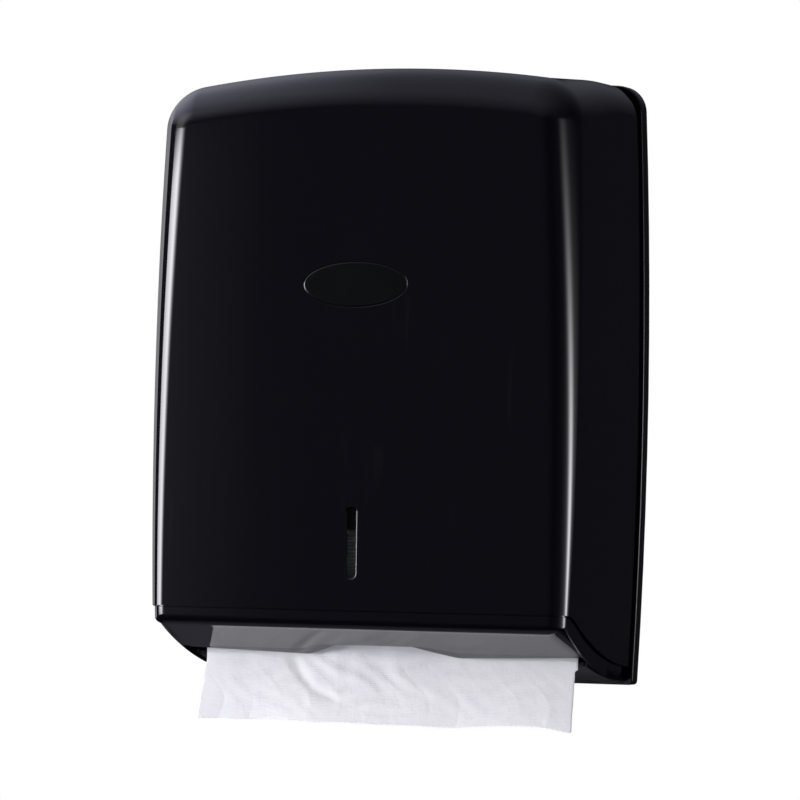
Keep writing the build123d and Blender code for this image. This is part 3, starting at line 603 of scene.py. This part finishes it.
def make_band():
    """Front band and side skirts of the tray, under the cover's lip.

    Each section drops from the lip, turns through a round and runs back along the underside; its back lies
    inside the tray's wall. The round is small at the sides and larger in front. The sections follow the
    cover's foot from the right side to the middle of the front, and the left half mirrors them. The foot
    lies on the plane under the front, and rises by a quarter of an ellipse to the hull beyond the panel."""
    radius = front_round(SEAM_LEVEL)
    corner_y = -(DEPTH - radius)
    side = np.linspace(BAND_REAR_Y, corner_y, BAND_SIDE_STEPS)
    quarter = np.linspace(0, pi / 2, BAND_CORNER_STEPS + 1)[1:]
    to_middle = np.linspace(1, 0, FRONT_STEPS + 1)[1:]
    straight = np.concatenate([side, np.full(BAND_CORNER_STEPS + FRONT_STEPS, corner_y)])
    turn = np.concatenate([np.zeros(BAND_SIDE_STEPS), quarter, np.full(FRONT_STEPS, pi / 2)])
    keep = np.concatenate([np.ones(BAND_SIDE_STEPS + BAND_CORNER_STEPS), to_middle])
    to_front = smooth_step(turn / (pi / 2))
    inset = BAND_INSET + BAND_REAR_INSET * smooth_step((straight - BAND_INSET_STARTS_Y) / BAND_INSET_RUN)
    round_in = BAND_SIDE_ROUND + (BAND_ROUND_IN - BAND_SIDE_ROUND) * to_front
    round_up = BAND_SIDE_ROUND + (BAND_ROUND_UP - BAND_SIDE_ROUND) * to_front

    def station(pull, level):
        """One point of every section, drawn in from the band's outside by pull, at a level."""
        reach = radius - inset - pull
        drawn = inset + pull + reach * (1 - np.cos(turn))
        x = half_width(level, drawn) * keep
        y = straight - reach * np.sin(turn)
        return np.stack([x, y, level + 0 * turn], axis=-1)

    seam = seam_level(station(0.0, SEAM_LEVEL)[:, 1])
    top = seam + BAND_TOP_ABOVE_SEAM
    edge = station(round_in, np.full_like(seam, BAND_FOOT_LEVEL))
    beyond = np.clip((edge[:, 0] - BAND_PANEL_HALF) / BAND_CHEEK_WIDTH, 0, 1)
    rise = 1 - np.sqrt(1 - beyond**2)
    foot = panel_level(edge[:, 1]) * (1 - rise) + hull_level(edge[:, 1]) * rise - BAND_COVERS_HULL
    groove_foot = seam - BAND_GROOVE_FOOT
    below_groove = groove_foot - BAND_GROOVE / 2
    round_up = np.minimum(round_up, below_groove - foot - BAND_LEAST)
    rows = [station(BAND_GROOVE, top), station(BAND_GROOVE, groove_foot), station(0.0, below_groove)]
    for bend in np.linspace(0, pi / 2, BAND_ROUND_STEPS):
        rows.append(station(round_in * (1 - cos(bend)), foot + round_up * (1 - sin(bend))))
    edge = rows[-1]
    beside_scallop = smooth_step((np.abs(edge[:, 0]) - BAND_SCALLOP_HALF) / BAND_SCALLOP_BLEND)
    scallop_meets = BAND_SCALLOP_MEETS_Y + (BAND_FRONT_MEETS_Y - BAND_SCALLOP_MEETS_Y) * beside_scallop
    inner_x = np.minimum(edge[:, 0], BAND_INNER_X)
    inner_y = np.maximum(edge[:, 1], scallop_meets)
    inner_level = panel_level(inner_y) - BAND_COVERS_HULL
    for share in np.linspace(0, 1, BAND_UNDER_STEPS)[1:]:
        x = edge[:, 0] * (1 - share) + inner_x * share
        y = edge[:, 1] * (1 - share) + inner_y * share
        level = foot * (1 - share) + inner_level * share
        level = np.minimum(level, hull_level(y) - BAND_COVERS_HULL)
        rows.append(np.stack([x, y, level], axis=-1))
    back = station(BAND_BACK_PULL, top)
    for share in np.linspace(0, 1, BAND_BACK_STEPS):
        x = inner_x * (1 - share) + back[:, 0] * share
        y = inner_y * (1 - share) + back[:, 1] * share
        level = np.minimum(hull_level(y) + BAND_IN_WALL, top - BAND_LEAST)
        rows.append(np.stack([x, y, level], axis=-1))
    rows.append(back)
    right = np.stack(rows, axis=1)
    left = (right * (-1, 1, 1))[-2::-1]
    loops = np.concatenate([right, left])
    ends = [np.broadcast_to(loop.mean(axis=0), loop.shape)[None] for loop in (loops[0], loops[-1])]
    shape = Shape()
    shape.grid(np.concatenate([ends[0], loops, ends[1]]), closed=True)
    band = shape.make("tray_front_band")
    weigh_normals(band)
    return band


def hump(value, centre, width):
    """e to the power of minus the square of (value - centre) / width."""
    return np.exp(-(((value - centre) / width) ** 2))


def wave(place, length, phase=0.0, lean=0.0):
    """Sine of place / length + phase + lean, with millimetres in the share and radians beside it."""
    return np.sin(place / length + phase + lean)


def free_edge_level(across):
    """Level of the towel's free edge, whose cut wanders, with fine teeth, two lifts and a drop."""
    wander = 0.5 * wave(across, length=9.0, phase=0.6) * wave(across, length=31.0)
    teeth = 0.22 * np.sin(across * 1.9)
    right_lift = 2.2 * hump(across, centre=88.0, width=24.0)
    right_drop = 0.9 * smooth_step((across - 104) / 16)
    left_lift = 1.0 * hump(across, centre=-60.0, width=30.0)
    return SHEET_FOOT + wander + teeth + right_lift - right_drop + left_lift


def sheet_waves(across, level):
    """A long and a short wave across the towel, which lean as they run down."""
    long_wave = 1.3 * wave(across, length=19.0, phase=0.4, lean=level / 45.0)
    short_wave = 0.8 * wave(across, length=11.5, phase=2.0, lean=-level / 24.0)
    return long_wave + short_wave


def sheet_crumple(across, level):
    """Product of two bent ripples, one across the towel and one down it."""
    bend_across = 1.7 * wave(level, length=5.0, lean=across / 21.0)
    bend_down = 1.3 * wave(across, length=8.0)
    ripple_across = wave(across, length=4.3, phase=bend_across)
    ripple_down = wave(level, length=3.6, phase=bend_down, lean=across / 33.0)
    return ripple_across * ripple_down


def sheet_wrinkles(across, level):
    """Narrow ridges, whose height comes and goes along them."""
    bend = 0.9 * wave(level, length=7.0)
    ridge = 1 - np.abs(wave(across, length=6.1, phase=bend, lean=level / 16.0))
    return ridge**3 * wave(across, length=23.0, phase=level / 13.0, lean=1.0)


def make_sheet():
    """Towel that hangs from the slot.

    Below the slot it swings forward. In its middle a swell with a crease at its left stands forward of the
    sheet's plane. Waves across the width and ridged wrinkles grow towards the free edge. The right edge
    steps in where the upper ply ends, and the left edge slants."""
    share = np.linspace(-1, 1, SHEET_COLUMNS)[None, :]
    down = np.linspace(0, 1, SHEET_ROWS)[:, None]
    across = share * SHEET_HALF_WIDTH
    level = SHEET_TOP + down * (free_edge_level(across) - SHEET_TOP)
    hang = smooth_step((SHEET_BEND_LEVEL - level) / SHEET_BEND_RUN)
    swell_across = (across - SWELL_X) / SWELL_HALF_WIDTH
    swell_reach = np.hypot(swell_across, (level - SWELL_LEVEL) / SWELL_HALF_HEIGHT)
    swell = SWELL_FORWARD * smooth_step(SWELL_FADES_AT - swell_reach) * (1 - SWELL_FLATTENS * hang)
    left_of_swell = smooth_step((CREASE_STARTS_X - across) / CREASE_RUN)
    crease = CREASE_DEEP * hump(swell_reach, CREASE_REACH, CREASE_WIDTH) * left_of_swell
    loose = SHEET_HELD_SHARE + (1 - SHEET_HELD_SHARE) * hang
    waves = SHEET_WAVES * sheet_waves(across, level)
    wrinkles = SHEET_WRINKLES * sheet_wrinkles(across, level)
    middle = smooth_step(CRUMPLE_FADES_AT - swell_reach)
    crumple = (CRUMPLE_LEAST + CRUMPLE_IN_SWELL * middle) * sheet_crumple(across, level)
    y = SHEET_Y - swell + crease + loose * (waves + wrinkles) + crumple
    y = y - SHEET_SWING * hang**SHEET_SWING_POWER
    flap = smooth_step(level - FLAP_LEVEL)
    right_edge = np.maximum(share, 0) ** SHEET_EDGE_POWER
    left_edge = np.maximum(-share, 0) ** SHEET_EDGE_POWER
    right_step = right_edge * (FLAP_OUT * flap - RIGHT_EDGE_IN)
    left_step = left_edge * (LEFT_EDGE_IN - LEFT_EDGE_OUT * hang)
    x = across + right_step + left_step
    shape = Shape()
    shape.grid(np.stack([x, y, level], axis=-1))
    sheet = shape.make("hanging_towel", PAPER_SHARP_DEGREES)
    thicken(sheet, SHEET_THICKNESS)
    return sheet


def thicken(piece, thickness):
    """Gives a sheet its thickness, half to each side."""
    wall = piece.modifiers.new("paper_thickness", "SOLIDIFY")
    wall.thickness = thickness * MILLIMETRE
    wall.offset = 0.0


def fold_drift(fold):
    """How far a fold of the stack stands behind the mean, from two sines of its number."""
    return 0.9 * np.sin(fold * 2.4) + 0.5 * np.sin(fold * 5.1 + 1.0)


def make_stack():
    """Interleaved towels as one strip, folded to and fro.

    Run k lies at its own level, goes rearward when k is even and forward when it is odd, and a half circle
    leads to the next run. Each fold stands a little forward or back of its neighbours."""
    run = np.arange(STACK_LAYERS)[:, None]
    forward = run % 2 == 1
    rear_fold = STACK_REAR - STACK_MARGIN
    front_fold = STACK_FRONT + STACK_MARGIN
    start = np.where(forward, rear_fold, front_fold) + STACK_DRIFT * fold_drift(run)
    end = np.where(forward, front_fold, rear_fold) + STACK_DRIFT * fold_drift(run + 1)
    share = np.linspace(0, 1, STACK_RUN_STEPS)[None, :]
    run_y = start * (1 - share) + end * share
    run_level = STACK_FLOOR + (run + 0.5) * STACK_PITCH + 0 * share
    turn = np.linspace(0, pi, STACK_FOLD_STEPS)[None, 1:-1]
    outward = np.where(forward, -1, 1)
    fold_y = end + outward * STACK_FOLD_REACH * np.sin(turn)
    fold_level = STACK_FLOOR + (run + 1) * STACK_PITCH - STACK_PITCH / 2 * np.cos(turn)
    y = np.concatenate([run_y, fold_y], axis=1).ravel()[: -turn.size]
    level = np.concatenate([run_level, fold_level], axis=1).ravel()[: -turn.size]
    layer = np.repeat(np.arange(STACK_LAYERS), share.size + turn.size)[: -turn.size]
    across = np.linspace(-1, 1, STACK_COLUMNS)[None, :]
    half = SHEET_HALF_WIDTH - STACK_SIDE_INSET + STACK_SIDE_DRIFT * np.sin(layer * 1.7)[:, None]
    x = across * half
    rise = (level - STACK_FLOOR)[:, None] / (STACK_LAYERS * STACK_PITCH)
    wave_across = 0.8 * wave(x, length=40.0)
    wave_along = 0.7 * np.cos(y[:, None] / 17.0)
    sag = rise * (wave_across + wave_along) - STACK_SAG * rise
    points = np.stack([x, y[:, None] + 0 * x, level[:, None] + sag], axis=-1)
    shape = Shape()
    shape.grid(points)
    stack = shape.make("folded_towels", PAPER_SHARP_DEGREES)
    thicken(stack, STACK_THICKNESS)
    length = np.sum(np.hypot(np.diff(y), np.diff(level))) * MILLIMETRE
    return stack, float(length)


class Socket:
    """One value in a node tree. Arithmetic on it adds Math nodes."""

    def __init__(self, nodes, output):
        self.nodes = nodes
        self.output = output

    def math(self, operation, first, second):
        return self.nodes.add("ShaderNodeMath", {"operation": operation}, {0: first, 1: second})

    def __add__(self, other):
        return self.math("ADD", self, other)

    def __radd__(self, other):
        return self.math("ADD", other, self)

    def __sub__(self, other):
        return self.math("SUBTRACT", self, other)

    def __rsub__(self, other):
        return self.math("SUBTRACT", other, self)

    def __mul__(self, other):
        return self.math("MULTIPLY", self, other)

    def __rmul__(self, other):
        return self.math("MULTIPLY", other, self)

    def __truediv__(self, other):
        return self.math("DIVIDE", self, other)

    def __pow__(self, other):
        return self.math("POWER", self, other)

    def at_least(self, other):
        return self.math("MAXIMUM", self, other)

    def at_most(self, other):
        return self.math("MINIMUM", self, other)

    def magnitude(self):
        return self.math("ABSOLUTE", self, 0.0)

    def clamped(self):
        """The value, held between 0 and 1."""
        return self.at_least(0.0).at_most(1.0)

    def rising(self, start, slope):
        """0 up to a start, then rising by a slope to 1."""
        return ((self - start).at_least(0.0) * slope).at_most(1.0)


class Nodes:
    """A node tree that is built from expressions."""

    def __init__(self, owner):
        owner.use_nodes = True
        self.owner = owner
        self.tree = owner.node_tree
        self.tree.nodes.clear()

    def add(self, kind, settings, inputs, output=0):
        """Adds one node: its settings first, then a value or a link for each named socket."""
        node = self.tree.nodes.new(kind)
        for key, value in settings.items():
            setattr(node, key, value)
        for key, value in inputs.items():
            if isinstance(value, Socket):
                self.tree.links.new(value.output, node.inputs[key])
            else:
                node.inputs[key].default_value = value
        return Socket(self, node.outputs[output]) if len(node.outputs) else node

    def object_place(self, scale=(1, 1, 1), shift=(0, 0, 0)):
        """Object coordinates, scaled and shifted by a Mapping node."""
        place = self.add("ShaderNodeTexCoord", {}, {}, "Object")
        return self.add("ShaderNodeMapping", {}, {"Vector": place, "Scale": scale, "Location": shift})

    def noise(self, place, scale, detail=3.0, roughness=0.55):
        """Noise from 0 to 1."""
        inputs = {"Vector": place, "Scale": scale, "Detail": detail, "Roughness": roughness}
        return self.add("ShaderNodeTexNoise", {}, inputs)

    def part_of(self, vector, index):
        """One of a vector's three coordinates."""
        return self.add("ShaderNodeSeparateXYZ", {}, {0: vector}, index)

    def mix_colour(self, factor, first, second):
        """Colour between two others."""
        return self.add("ShaderNodeMix", {"data_type": "RGBA"}, {0: factor, 6: first, 7: second}, 2)

    def bump(self, height, strength, distance):
        """Normal from a height, with the height's full step as a distance in metres."""
        inputs = {"Height": height, "Strength": strength, "Distance": distance}
        return self.add("ShaderNodeBump", {}, inputs, "Normal")

    def surface(self, inputs):
        """Links a Principled surface to the output and returns the material."""
        shader = self.add("ShaderNodeBsdfPrincipled", {}, inputs)
        self.add("ShaderNodeOutputMaterial", {}, {"Surface": shader})
        return self.owner


# Colours of the finishes, as linear red, green, blue and alpha
GLOSS_BLACK = (0.0018, 0.0015, 0.0032, 1)
PLATE_BLACK = (0.0020, 0.0018, 0.0032, 1)
RUBBED_BLACK = (0.02, 0.02, 0.022, 1)
BADGE_BLACK = (0.0010, 0.0012, 0.0012, 1)
BADGE_PALE = (0.0016, 0.0019, 0.0019, 1)
GUIDE_BLACK = (0.022, 0.022, 0.024, 1)
GUIDE_PALE = (0.034, 0.034, 0.036, 1)
SMOKE_DARK = (0.003, 0.0028, 0.0027, 1)
SMOKE_PALE = (0.008, 0.0078, 0.0075, 1)
ZINC_PALE = (0.6, 0.61, 0.62, 1)
ZINC_DARK = (0.42, 0.43, 0.44, 1)
NICKEL_PALE = (0.75, 0.76, 0.78, 1)
NICKEL_DARK = (0.6, 0.6, 0.62, 1)
BRASS_PALE = (0.78, 0.62, 0.32, 1)
BRASS_DARK = (0.62, 0.46, 0.2, 1)
TISSUE_GREY = (0.85, 0.845, 0.855, 1)
TISSUE_WHITE = (0.94, 0.935, 0.94, 1)
DRAWN_LINES = (2500.0, 60.0, 60.0)
PLASTIC_IOR = 1.49


def moulded_gloss(name, colour, haze, gloss, grain):
    """Glossy moulding: faint flow marks in the gloss, fine rub marks, dust and a slight orange peel."""
    nodes = Nodes(bpy.data.materials.new(name))
    place = nodes.object_place()
    flow = nodes.noise(nodes.object_place((1.0, 1.0, 0.35)), scale=14.0, detail=4.0)
    rubs = nodes.noise(nodes.object_place((260.0, 260.0, 9.0)), scale=1.0, detail=2.0)
    rub_places = nodes.noise(place, scale=22.0, detail=2.0)
    rub = rubs.rising(0.58, slope=4.0) * rub_places.rising(0.52, slope=5.0)
    dust = nodes.noise(place, scale=700.0, detail=1.0).rising(0.74, slope=9.0)
    base = nodes.mix_colour((rub * 0.35 + dust * 0.25).at_most(1.0), colour, haze)
    broad_peel = nodes.noise(place, scale=210.0, detail=2.0)
    fine_peel = nodes.noise(place, scale=1500.0, detail=1.0)
    peel = broad_peel * 0.7 + fine_peel * 0.3
    inputs = {
        "Base Color": base,
        "Roughness": gloss + (flow - 0.5) * 0.06 + rub * 0.10 + dust * 0.12,
        "Normal": nodes.bump(peel, strength=grain, distance=0.00004),
        "IOR": PLASTIC_IOR,
    }
    return nodes.surface(inputs)


def satin_plastic(name, colour, pale, gloss):
    """Satin moulding with a fine spark-eroded grain."""
    nodes = Nodes(bpy.data.materials.new(name))
    place = nodes.object_place()
    grain = nodes.noise(place, scale=1800.0, detail=2.0)
    cloud = nodes.noise(place, scale=30.0)
    inputs = {
        "Base Color": nodes.mix_colour(cloud * 0.6, colour, pale),
        "Roughness": gloss + (cloud - 0.5) * 0.12,
        "Normal": nodes.bump(grain, strength=0.35, distance=0.00005),
    }
    return nodes.surface(inputs)


def smoked_clear(name):
    """Smoked clear strip, a little hazed, that shows the towels dimly."""
    nodes = Nodes(bpy.data.materials.new(name))
    place = nodes.object_place()
    haze = nodes.noise(place, scale=160.0)
    inputs = {
        "Base Color": nodes.mix_colour(haze * 0.5, SMOKE_DARK, SMOKE_PALE),
        "Roughness": 0.07 + haze * 0.08,
        "Alpha": 0.18 + haze * 0.12,
        "IOR": PLASTIC_IOR,
    }
    return nodes.surface(inputs)


def plated_metal(name, colour, shadow, gloss, stretch):
    """Plated or drawn metal: fine lines along one direction and a cloudy sheen."""
    nodes = Nodes(bpy.data.materials.new(name))
    lines = nodes.noise(nodes.object_place(stretch), scale=1.0)
    cloud = nodes.noise(nodes.object_place(), scale=120.0)
    inputs = {
        "Base Color": nodes.mix_colour(cloud * 0.5 + lines * 0.3, colour, shadow),
        "Metallic": 1.0,
        "Roughness": gloss + (cloud - 0.5) * 0.14 + (lines - 0.5) * 0.10,
        "Normal": nodes.bump(lines, strength=0.25, distance=0.00003),
    }
    return nodes.surface(inputs)


def turned_metal(name, colour, shadow, gloss):
    """Metal turned about the lock's axis, with fine rings."""
    nodes = Nodes(bpy.data.materials.new(name))
    place = nodes.object_place(shift=(0, -LOCK_Y * MILLIMETRE, 0))
    settings = {"wave_type": "RINGS", "rings_direction": "Z", "wave_profile": "SIN"}
    inputs = {"Vector": place, "Scale": 900.0, "Distortion": 0.6, "Detail": 2.0}
    rings = nodes.add("ShaderNodeTexWave", settings, inputs, 1)
    cloud = nodes.noise(place, scale=150.0)
    inputs = {
        "Base Color": nodes.mix_colour(cloud * 0.6, colour, shadow),
        "Metallic": 1.0,
        "Roughness": gloss + (cloud - 0.5) * 0.12 + rings * 0.05,
        "Normal": nodes.bump(rings, strength=0.15, distance=0.00003),
    }
    return nodes.surface(inputs)


def tissue(name):
    """Soft white towel paper: crepe lines across the width, fibres and a slight unevenness of white."""
    nodes = Nodes(bpy.data.materials.new(name))
    place = nodes.object_place()
    crepe = nodes.noise(nodes.object_place((120.0, 600.0, 1400.0)), scale=1.0, roughness=0.6)
    fibres = nodes.noise(nodes.object_place((900.0, 900.0, 260.0)), scale=1.0, roughness=0.7)
    cloud = nodes.noise(place, scale=45.0, detail=4.0)
    wrinkles = nodes.noise(nodes.object_place((26.0, 26.0, 11.0)), scale=1.0, detail=4.0, roughness=0.62)
    crinkles = nodes.noise(nodes.object_place((170.0, 170.0, 120.0)), scale=1.0, roughness=0.6)
    height = crepe * 0.3 + fibres * 0.3 + wrinkles * 2.8 + crinkles * 0.9
    inputs = {
        "Base Color": nodes.mix_colour(cloud, TISSUE_GREY, TISSUE_WHITE),
        "Roughness": 0.95 - fibres * 0.1,
        "Normal": nodes.bump(height, strength=0.8, distance=0.0006),
        "Sheen Weight": 0.15,
        "Specular IOR Level": 0.2,
    }
    return nodes.surface(inputs)


def dress(node, material):
    """Gives a solid of the frame its material."""
    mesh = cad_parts[node].data
    mesh.materials.clear()
    mesh.materials.append(material)


def place_piece(piece, body, node, material):
    """Puts a new piece on its body in place of a solid, with its finish."""
    piece.data.materials.clear()
    piece.data.materials.append(material)
    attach(piece, body)
    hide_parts(node)


# Finishes
cover_black = moulded_gloss("cover_gloss_black", GLOSS_BLACK, RUBBED_BLACK, gloss=0.07, grain=0.10)
tray_black = moulded_gloss("tray_gloss_black", GLOSS_BLACK, RUBBED_BLACK, gloss=0.10, grain=0.10)
plate_black = moulded_gloss("back_plate_black", PLATE_BLACK, RUBBED_BLACK, gloss=0.16, grain=0.12)
badge_black = satin_plastic("badge_satin_black", BADGE_BLACK, BADGE_PALE, gloss=0.11)
guide_black = satin_plastic("guide_satin_black", GUIDE_BLACK, GUIDE_PALE, gloss=0.5)
smoked = smoked_clear("smoked_strip")
zinc = plated_metal("zinc_plated_steel", ZINC_PALE, ZINC_DARK, gloss=0.34, stretch=DRAWN_LINES)
nickel = turned_metal("nickel_plate", NICKEL_PALE, NICKEL_DARK, gloss=0.2)
brass = turned_metal("turned_brass", BRASS_PALE, BRASS_DARK, gloss=0.26)
paper = tissue("white_tissue")

for node, material in (
    ("back_plate", plate_black),
    ("outlet_tray", tray_black),
    ("left_hinge_pin", zinc),
    ("right_hinge_pin", zinc),
    ("lock_barrel", nickel),
    ("lock_core", brass),
    ("lock_cam", zinc),
    ("cam_screw", zinc),
    ("lock_washer", zinc),
    ("lock_nut", nickel),
    ("lock_strike", zinc),
    ("strike_screws", zinc),
    ("left_stack_guide", guide_black),
    ("right_stack_guide", guide_black),
    ("guide_screws", zinc),
    ("tray_screws", zinc),
):
    dress(node, material)

# New pieces
place_piece(make_cover(), "cover", "front_cover", cover_black)
place_piece(make_lock_boss(), "cover", "front_cover", cover_black)
place_piece(make_hinge_lug(-1, "left_hinge_lug"), "cover", "front_cover", cover_black)
place_piece(make_hinge_lug(1, "right_hinge_lug"), "cover", "front_cover", cover_black)
place_piece(make_badge(), "cover", "badge_plate", badge_black)
place_piece(make_strip(), "cover", "level_window", smoked)
band = make_band()
band.data.materials.append(tray_black)
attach(band, "base")
hanging_towel = make_sheet()
place_piece(hanging_towel, "towel", "leading_towel", paper)
folded_towels, strip_length = make_stack()
place_piece(folded_towels, "base", "towel_stack", paper)


# Studio, in metres and degrees: a bright card at the left front, a dimmer one at the left rear, a soft one
# at the right, the floor, the world, the fill lamp and the camera
CARD_WHITE = (0.965, 0.955, 1.0, 1)
CARD_DISTANCE = 1.6
LEFT_EDGE = (-0.125, -0.11, 0.04)
RIGHT_EDGE = (0.125, -0.11, -0.12)
BELL_BASE = 2.718
FLOOR_HALF = 6.0
FLOOR_LEVEL = -1.1
FLOOR_PAINT = (0.86, 0.86, 0.86, 1)
FLOOR_WHITE_SHARE = 0.92
WHITE = (1, 1, 1, 1)
STUDIO_TINT = (0.9, 0.92, 1.12, 1)
FILL_PLACE = (-0.5, -2.0, 0.9)
CAMERA_PLACE = (1.10859, -2.45562, -0.07732)
CAMERA_DEGREES = (24.79, 1.39, 0.9)


def flat_card(name, half_wide, half_high, level):
    """Object with one level face about the origin, at a level."""
    mesh = bpy.data.meshes.new(name)
    corners = [(-half_wide, -half_high, level), (half_wide, -half_high, level)]
    corners += [(half_wide, half_high, level), (-half_wide, half_high, level)]
    mesh.from_pydata(corners, [], [(0, 1, 2, 3)])
    card = bpy.data.objects.new(name, mesh)
    bpy.context.scene.collection.objects.link(card)
    return card


def soft_card(name, target, azimuth, elevation, width, height, glow):
    """Studio light: a card that faces a target and glows by a function of its two coordinates, -1 to 1.

    Azimuth 0 is straight in front, and grows to the right seen from the front."""
    half_wide, half_high = width / 2, height / 2
    card = flat_card(name, half_wide, half_high, 0)
    a, e = radians(azimuth), radians(elevation)
    away = Vector((sin(a) * cos(e), -cos(a) * cos(e), sin(e)))
    card.rotation_mode = "QUATERNION"
    card.rotation_quaternion = (-away).to_track_quat("Z", "Y")
    card.location = Vector(target) + away * CARD_DISTANCE
    card.visible_camera = False
    card.visible_shadow = False
    material = bpy.data.materials.new(name)
    nodes = Nodes(material)
    place = nodes.object_place((1 / half_wide, 1 / half_high, 1))
    strength = glow(nodes.part_of(place, 0), nodes.part_of(place, 1))
    light = nodes.add("ShaderNodeEmission", {}, {"Color": CARD_WHITE, "Strength": strength})
    clear = nodes.add("ShaderNodeBsdfTransparent", {}, {})
    both = nodes.add("ShaderNodeAddShader", {}, {0: light, 1: clear})
    nodes.add("ShaderNodeOutputMaterial", {}, {"Surface": both})
    card.data.materials.append(material)


def bell(value, width):
    """e, rounded, to the power of minus the square of value / width."""
    share = value / width
    return share.math("POWER", BELL_BASE, 0 - share * share)


def soft_ends(upward):
    """1, and a slope down to 0 at a card's upper and lower edge."""
    return ((1.0 - upward.magnitude()) * 2.5).at_most(1.0)


def left_front_glow(across, upward):
    """Bright band at the dispenser's height, with a dim glow above it.

    Across, it fades softly towards the front and by a straight slope towards the rear."""
    profile = (20.0 - across.at_least(0.0) * 11.8) * bell(across.at_most(0.0), width=0.40)
    band = ((0.235 - upward.magnitude()) * 18.0).clamped()
    above = ((upward + 0.1) * 4.0).clamped() * ((1.0 - upward) * 3.0).at_most(1.0)
    return profile * (band * 0.95 + above * 0.064)


def left_rear_glow(across, upward):
    """Fades towards the rear, and softly at its upper and lower edge."""
    return ((1.0 - across) ** 2.0 * 0.5 + 0.08) * soft_ends(upward)


def right_glow(across, upward):
    """Soft spot that leans forward with height, with a dim tail above it and a halo around it."""
    lean = across + 0.2 - upward * 0.93
    halo_lean = across + 0.22 - upward * 0.6
    spot = bell(lean, width=0.13) * bell(upward, width=0.3) * 13.8
    tail = bell(lean, width=0.16) * bell(upward - 0.45, width=0.28) * 0.95
    halo = bell(halo_lean, width=0.36) * bell(upward, width=0.367) * 1.3
    return (spot + tail + halo) * soft_ends(upward)


for name, target, azimuth, elevation, width, height, glow in (
    ("left_front_card", LEFT_EDGE, -47.5, 0, 1.33, 2.6, left_front_glow),
    ("left_rear_card", LEFT_EDGE, -128, 4, 1.9, 1.6, left_rear_glow),
    ("right_card", RIGHT_EDGE, 92, 0, 4.4, 1.8, right_glow),
):
    soft_card(name, target, azimuth, elevation, width, height, glow)


def make_floor():
    """Pale floor far below the dispenser, white to the camera, that keeps a trace of the shadow."""
    floor = flat_card("floor", FLOOR_HALF, FLOOR_HALF, FLOOR_LEVEL)
    material = bpy.data.materials.new("pale_floor")
    nodes = Nodes(material)
    camera_ray = nodes.add("ShaderNodeLightPath", {}, {}, "Is Camera Ray")
    paint = nodes.add("ShaderNodeBsdfDiffuse", {}, {"Color": FLOOR_PAINT})
    white = nodes.add("ShaderNodeEmission", {}, {"Color": WHITE, "Strength": 1.0})
    share = camera_ray * FLOOR_WHITE_SHARE
    mixed = nodes.add("ShaderNodeMixShader", {}, {0: share, 1: paint, 2: white})
    nodes.add("ShaderNodeOutputMaterial", {}, {"Surface": mixed})
    floor.data.materials.append(material)
    floor.visible_glossy = False


def make_world():
    """White to the camera and through glass; gloss and paper see a dim studio under a pale ceiling."""
    world = bpy.data.worlds.new("studio")
    bpy.context.scene.world = world
    nodes = Nodes(world)
    camera_ray = nodes.add("ShaderNodeLightPath", {}, {}, "Is Camera Ray")
    through_ray = nodes.add("ShaderNodeLightPath", {}, {}, "Is Transmission Ray")
    direction = nodes.add("ShaderNodeTexCoord", {}, {}, "Generated")
    sideways, rearward, upward = (nodes.part_of(direction, index) for index in range(3))
    front = (0.4 - rearward * 2.0).clamped()
    gap = bell(sideways - 0.36, width=0.30)
    below = ((upward + 0.45) * 3.0).at_least(0.15).at_most(1.0)
    horizon = (0.028 + front * (1.0 - gap) * 0.045) * below
    low = (-0.12 - upward).at_least(0.0)
    behind = (rearward * 1.6 - 0.2).clamped()
    leftward = ((-0.1 - sideways) * 4.0).clamped()
    straight_down = ((-0.72 - upward) * 6.0).clamped()
    horizon = horizon + low * low * behind * leftward * 0.6 + straight_down * 0.2
    ceiling = ((upward - 0.2) * 1.8).clamped()
    left_top = (-0.4 - sideways).at_least(0.0) * 5.0
    overhead = 0.33 - sideways * 0.3 - rearward * 0.06 + left_top
    glow = (1.0 - ceiling) * horizon + ceiling * overhead
    seen = camera_ray.at_least(through_ray)
    strength = seen + (1 - seen) * glow
    tint = nodes.mix_colour(seen, STUDIO_TINT, WHITE)
    light = nodes.add("ShaderNodeBackground", {}, {"Color": tint, "Strength": strength})
    nodes.add("ShaderNodeOutputWorld", {}, {"Surface": light})


def make_fill():
    """Wide soft lamp in front, which lights the paper and doesn't show in the gloss."""
    lamp = bpy.data.lights.new("front_fill", "AREA")
    lamp.shape = "RECTANGLE"
    lamp.size = 1.8
    lamp.size_y = 1.4
    lamp.energy = 8.6
    lamp.color = (1.0, 0.98, 0.9)
    fill = bpy.data.objects.new("front_fill", lamp)
    bpy.context.scene.collection.objects.link(fill)
    fill.location = FILL_PLACE
    fill.rotation_mode = "QUATERNION"
    fill.rotation_quaternion = fill.location.to_track_quat("Z", "Y")
    fill.visible_glossy = False
    fill.visible_camera = False


def make_camera():
    """Camera of the photograph, from its place in metres and its yaw, pitch and roll."""
    yaw, pitch, roll = (radians(degrees) for degrees in CAMERA_DEGREES)
    ahead = Vector((-sin(yaw) * cos(pitch), cos(yaw) * cos(pitch), sin(pitch)))
    right = Vector((cos(yaw), sin(yaw), 0))
    up = right.cross(ahead)
    image_right = right * cos(roll) + up * sin(roll)
    image_up = up * cos(roll) - right * sin(roll)
    lens = bpy.data.cameras.new("camera")
    lens.sensor_width = 36.0
    lens.lens = 202.446
    lens.clip_end = 100.0
    camera = bpy.data.objects.new("camera", lens)
    bpy.context.scene.collection.objects.link(camera)
    turn = Matrix((image_right, image_up, -ahead)).transposed()
    camera.matrix_world = Matrix.Translation(CAMERA_PLACE) @ turn.to_4x4()
    bpy.context.scene.camera = camera


make_floor()
make_world()
make_fill()
make_camera()
bpy.context.scene.view_settings.view_transform = "Standard"
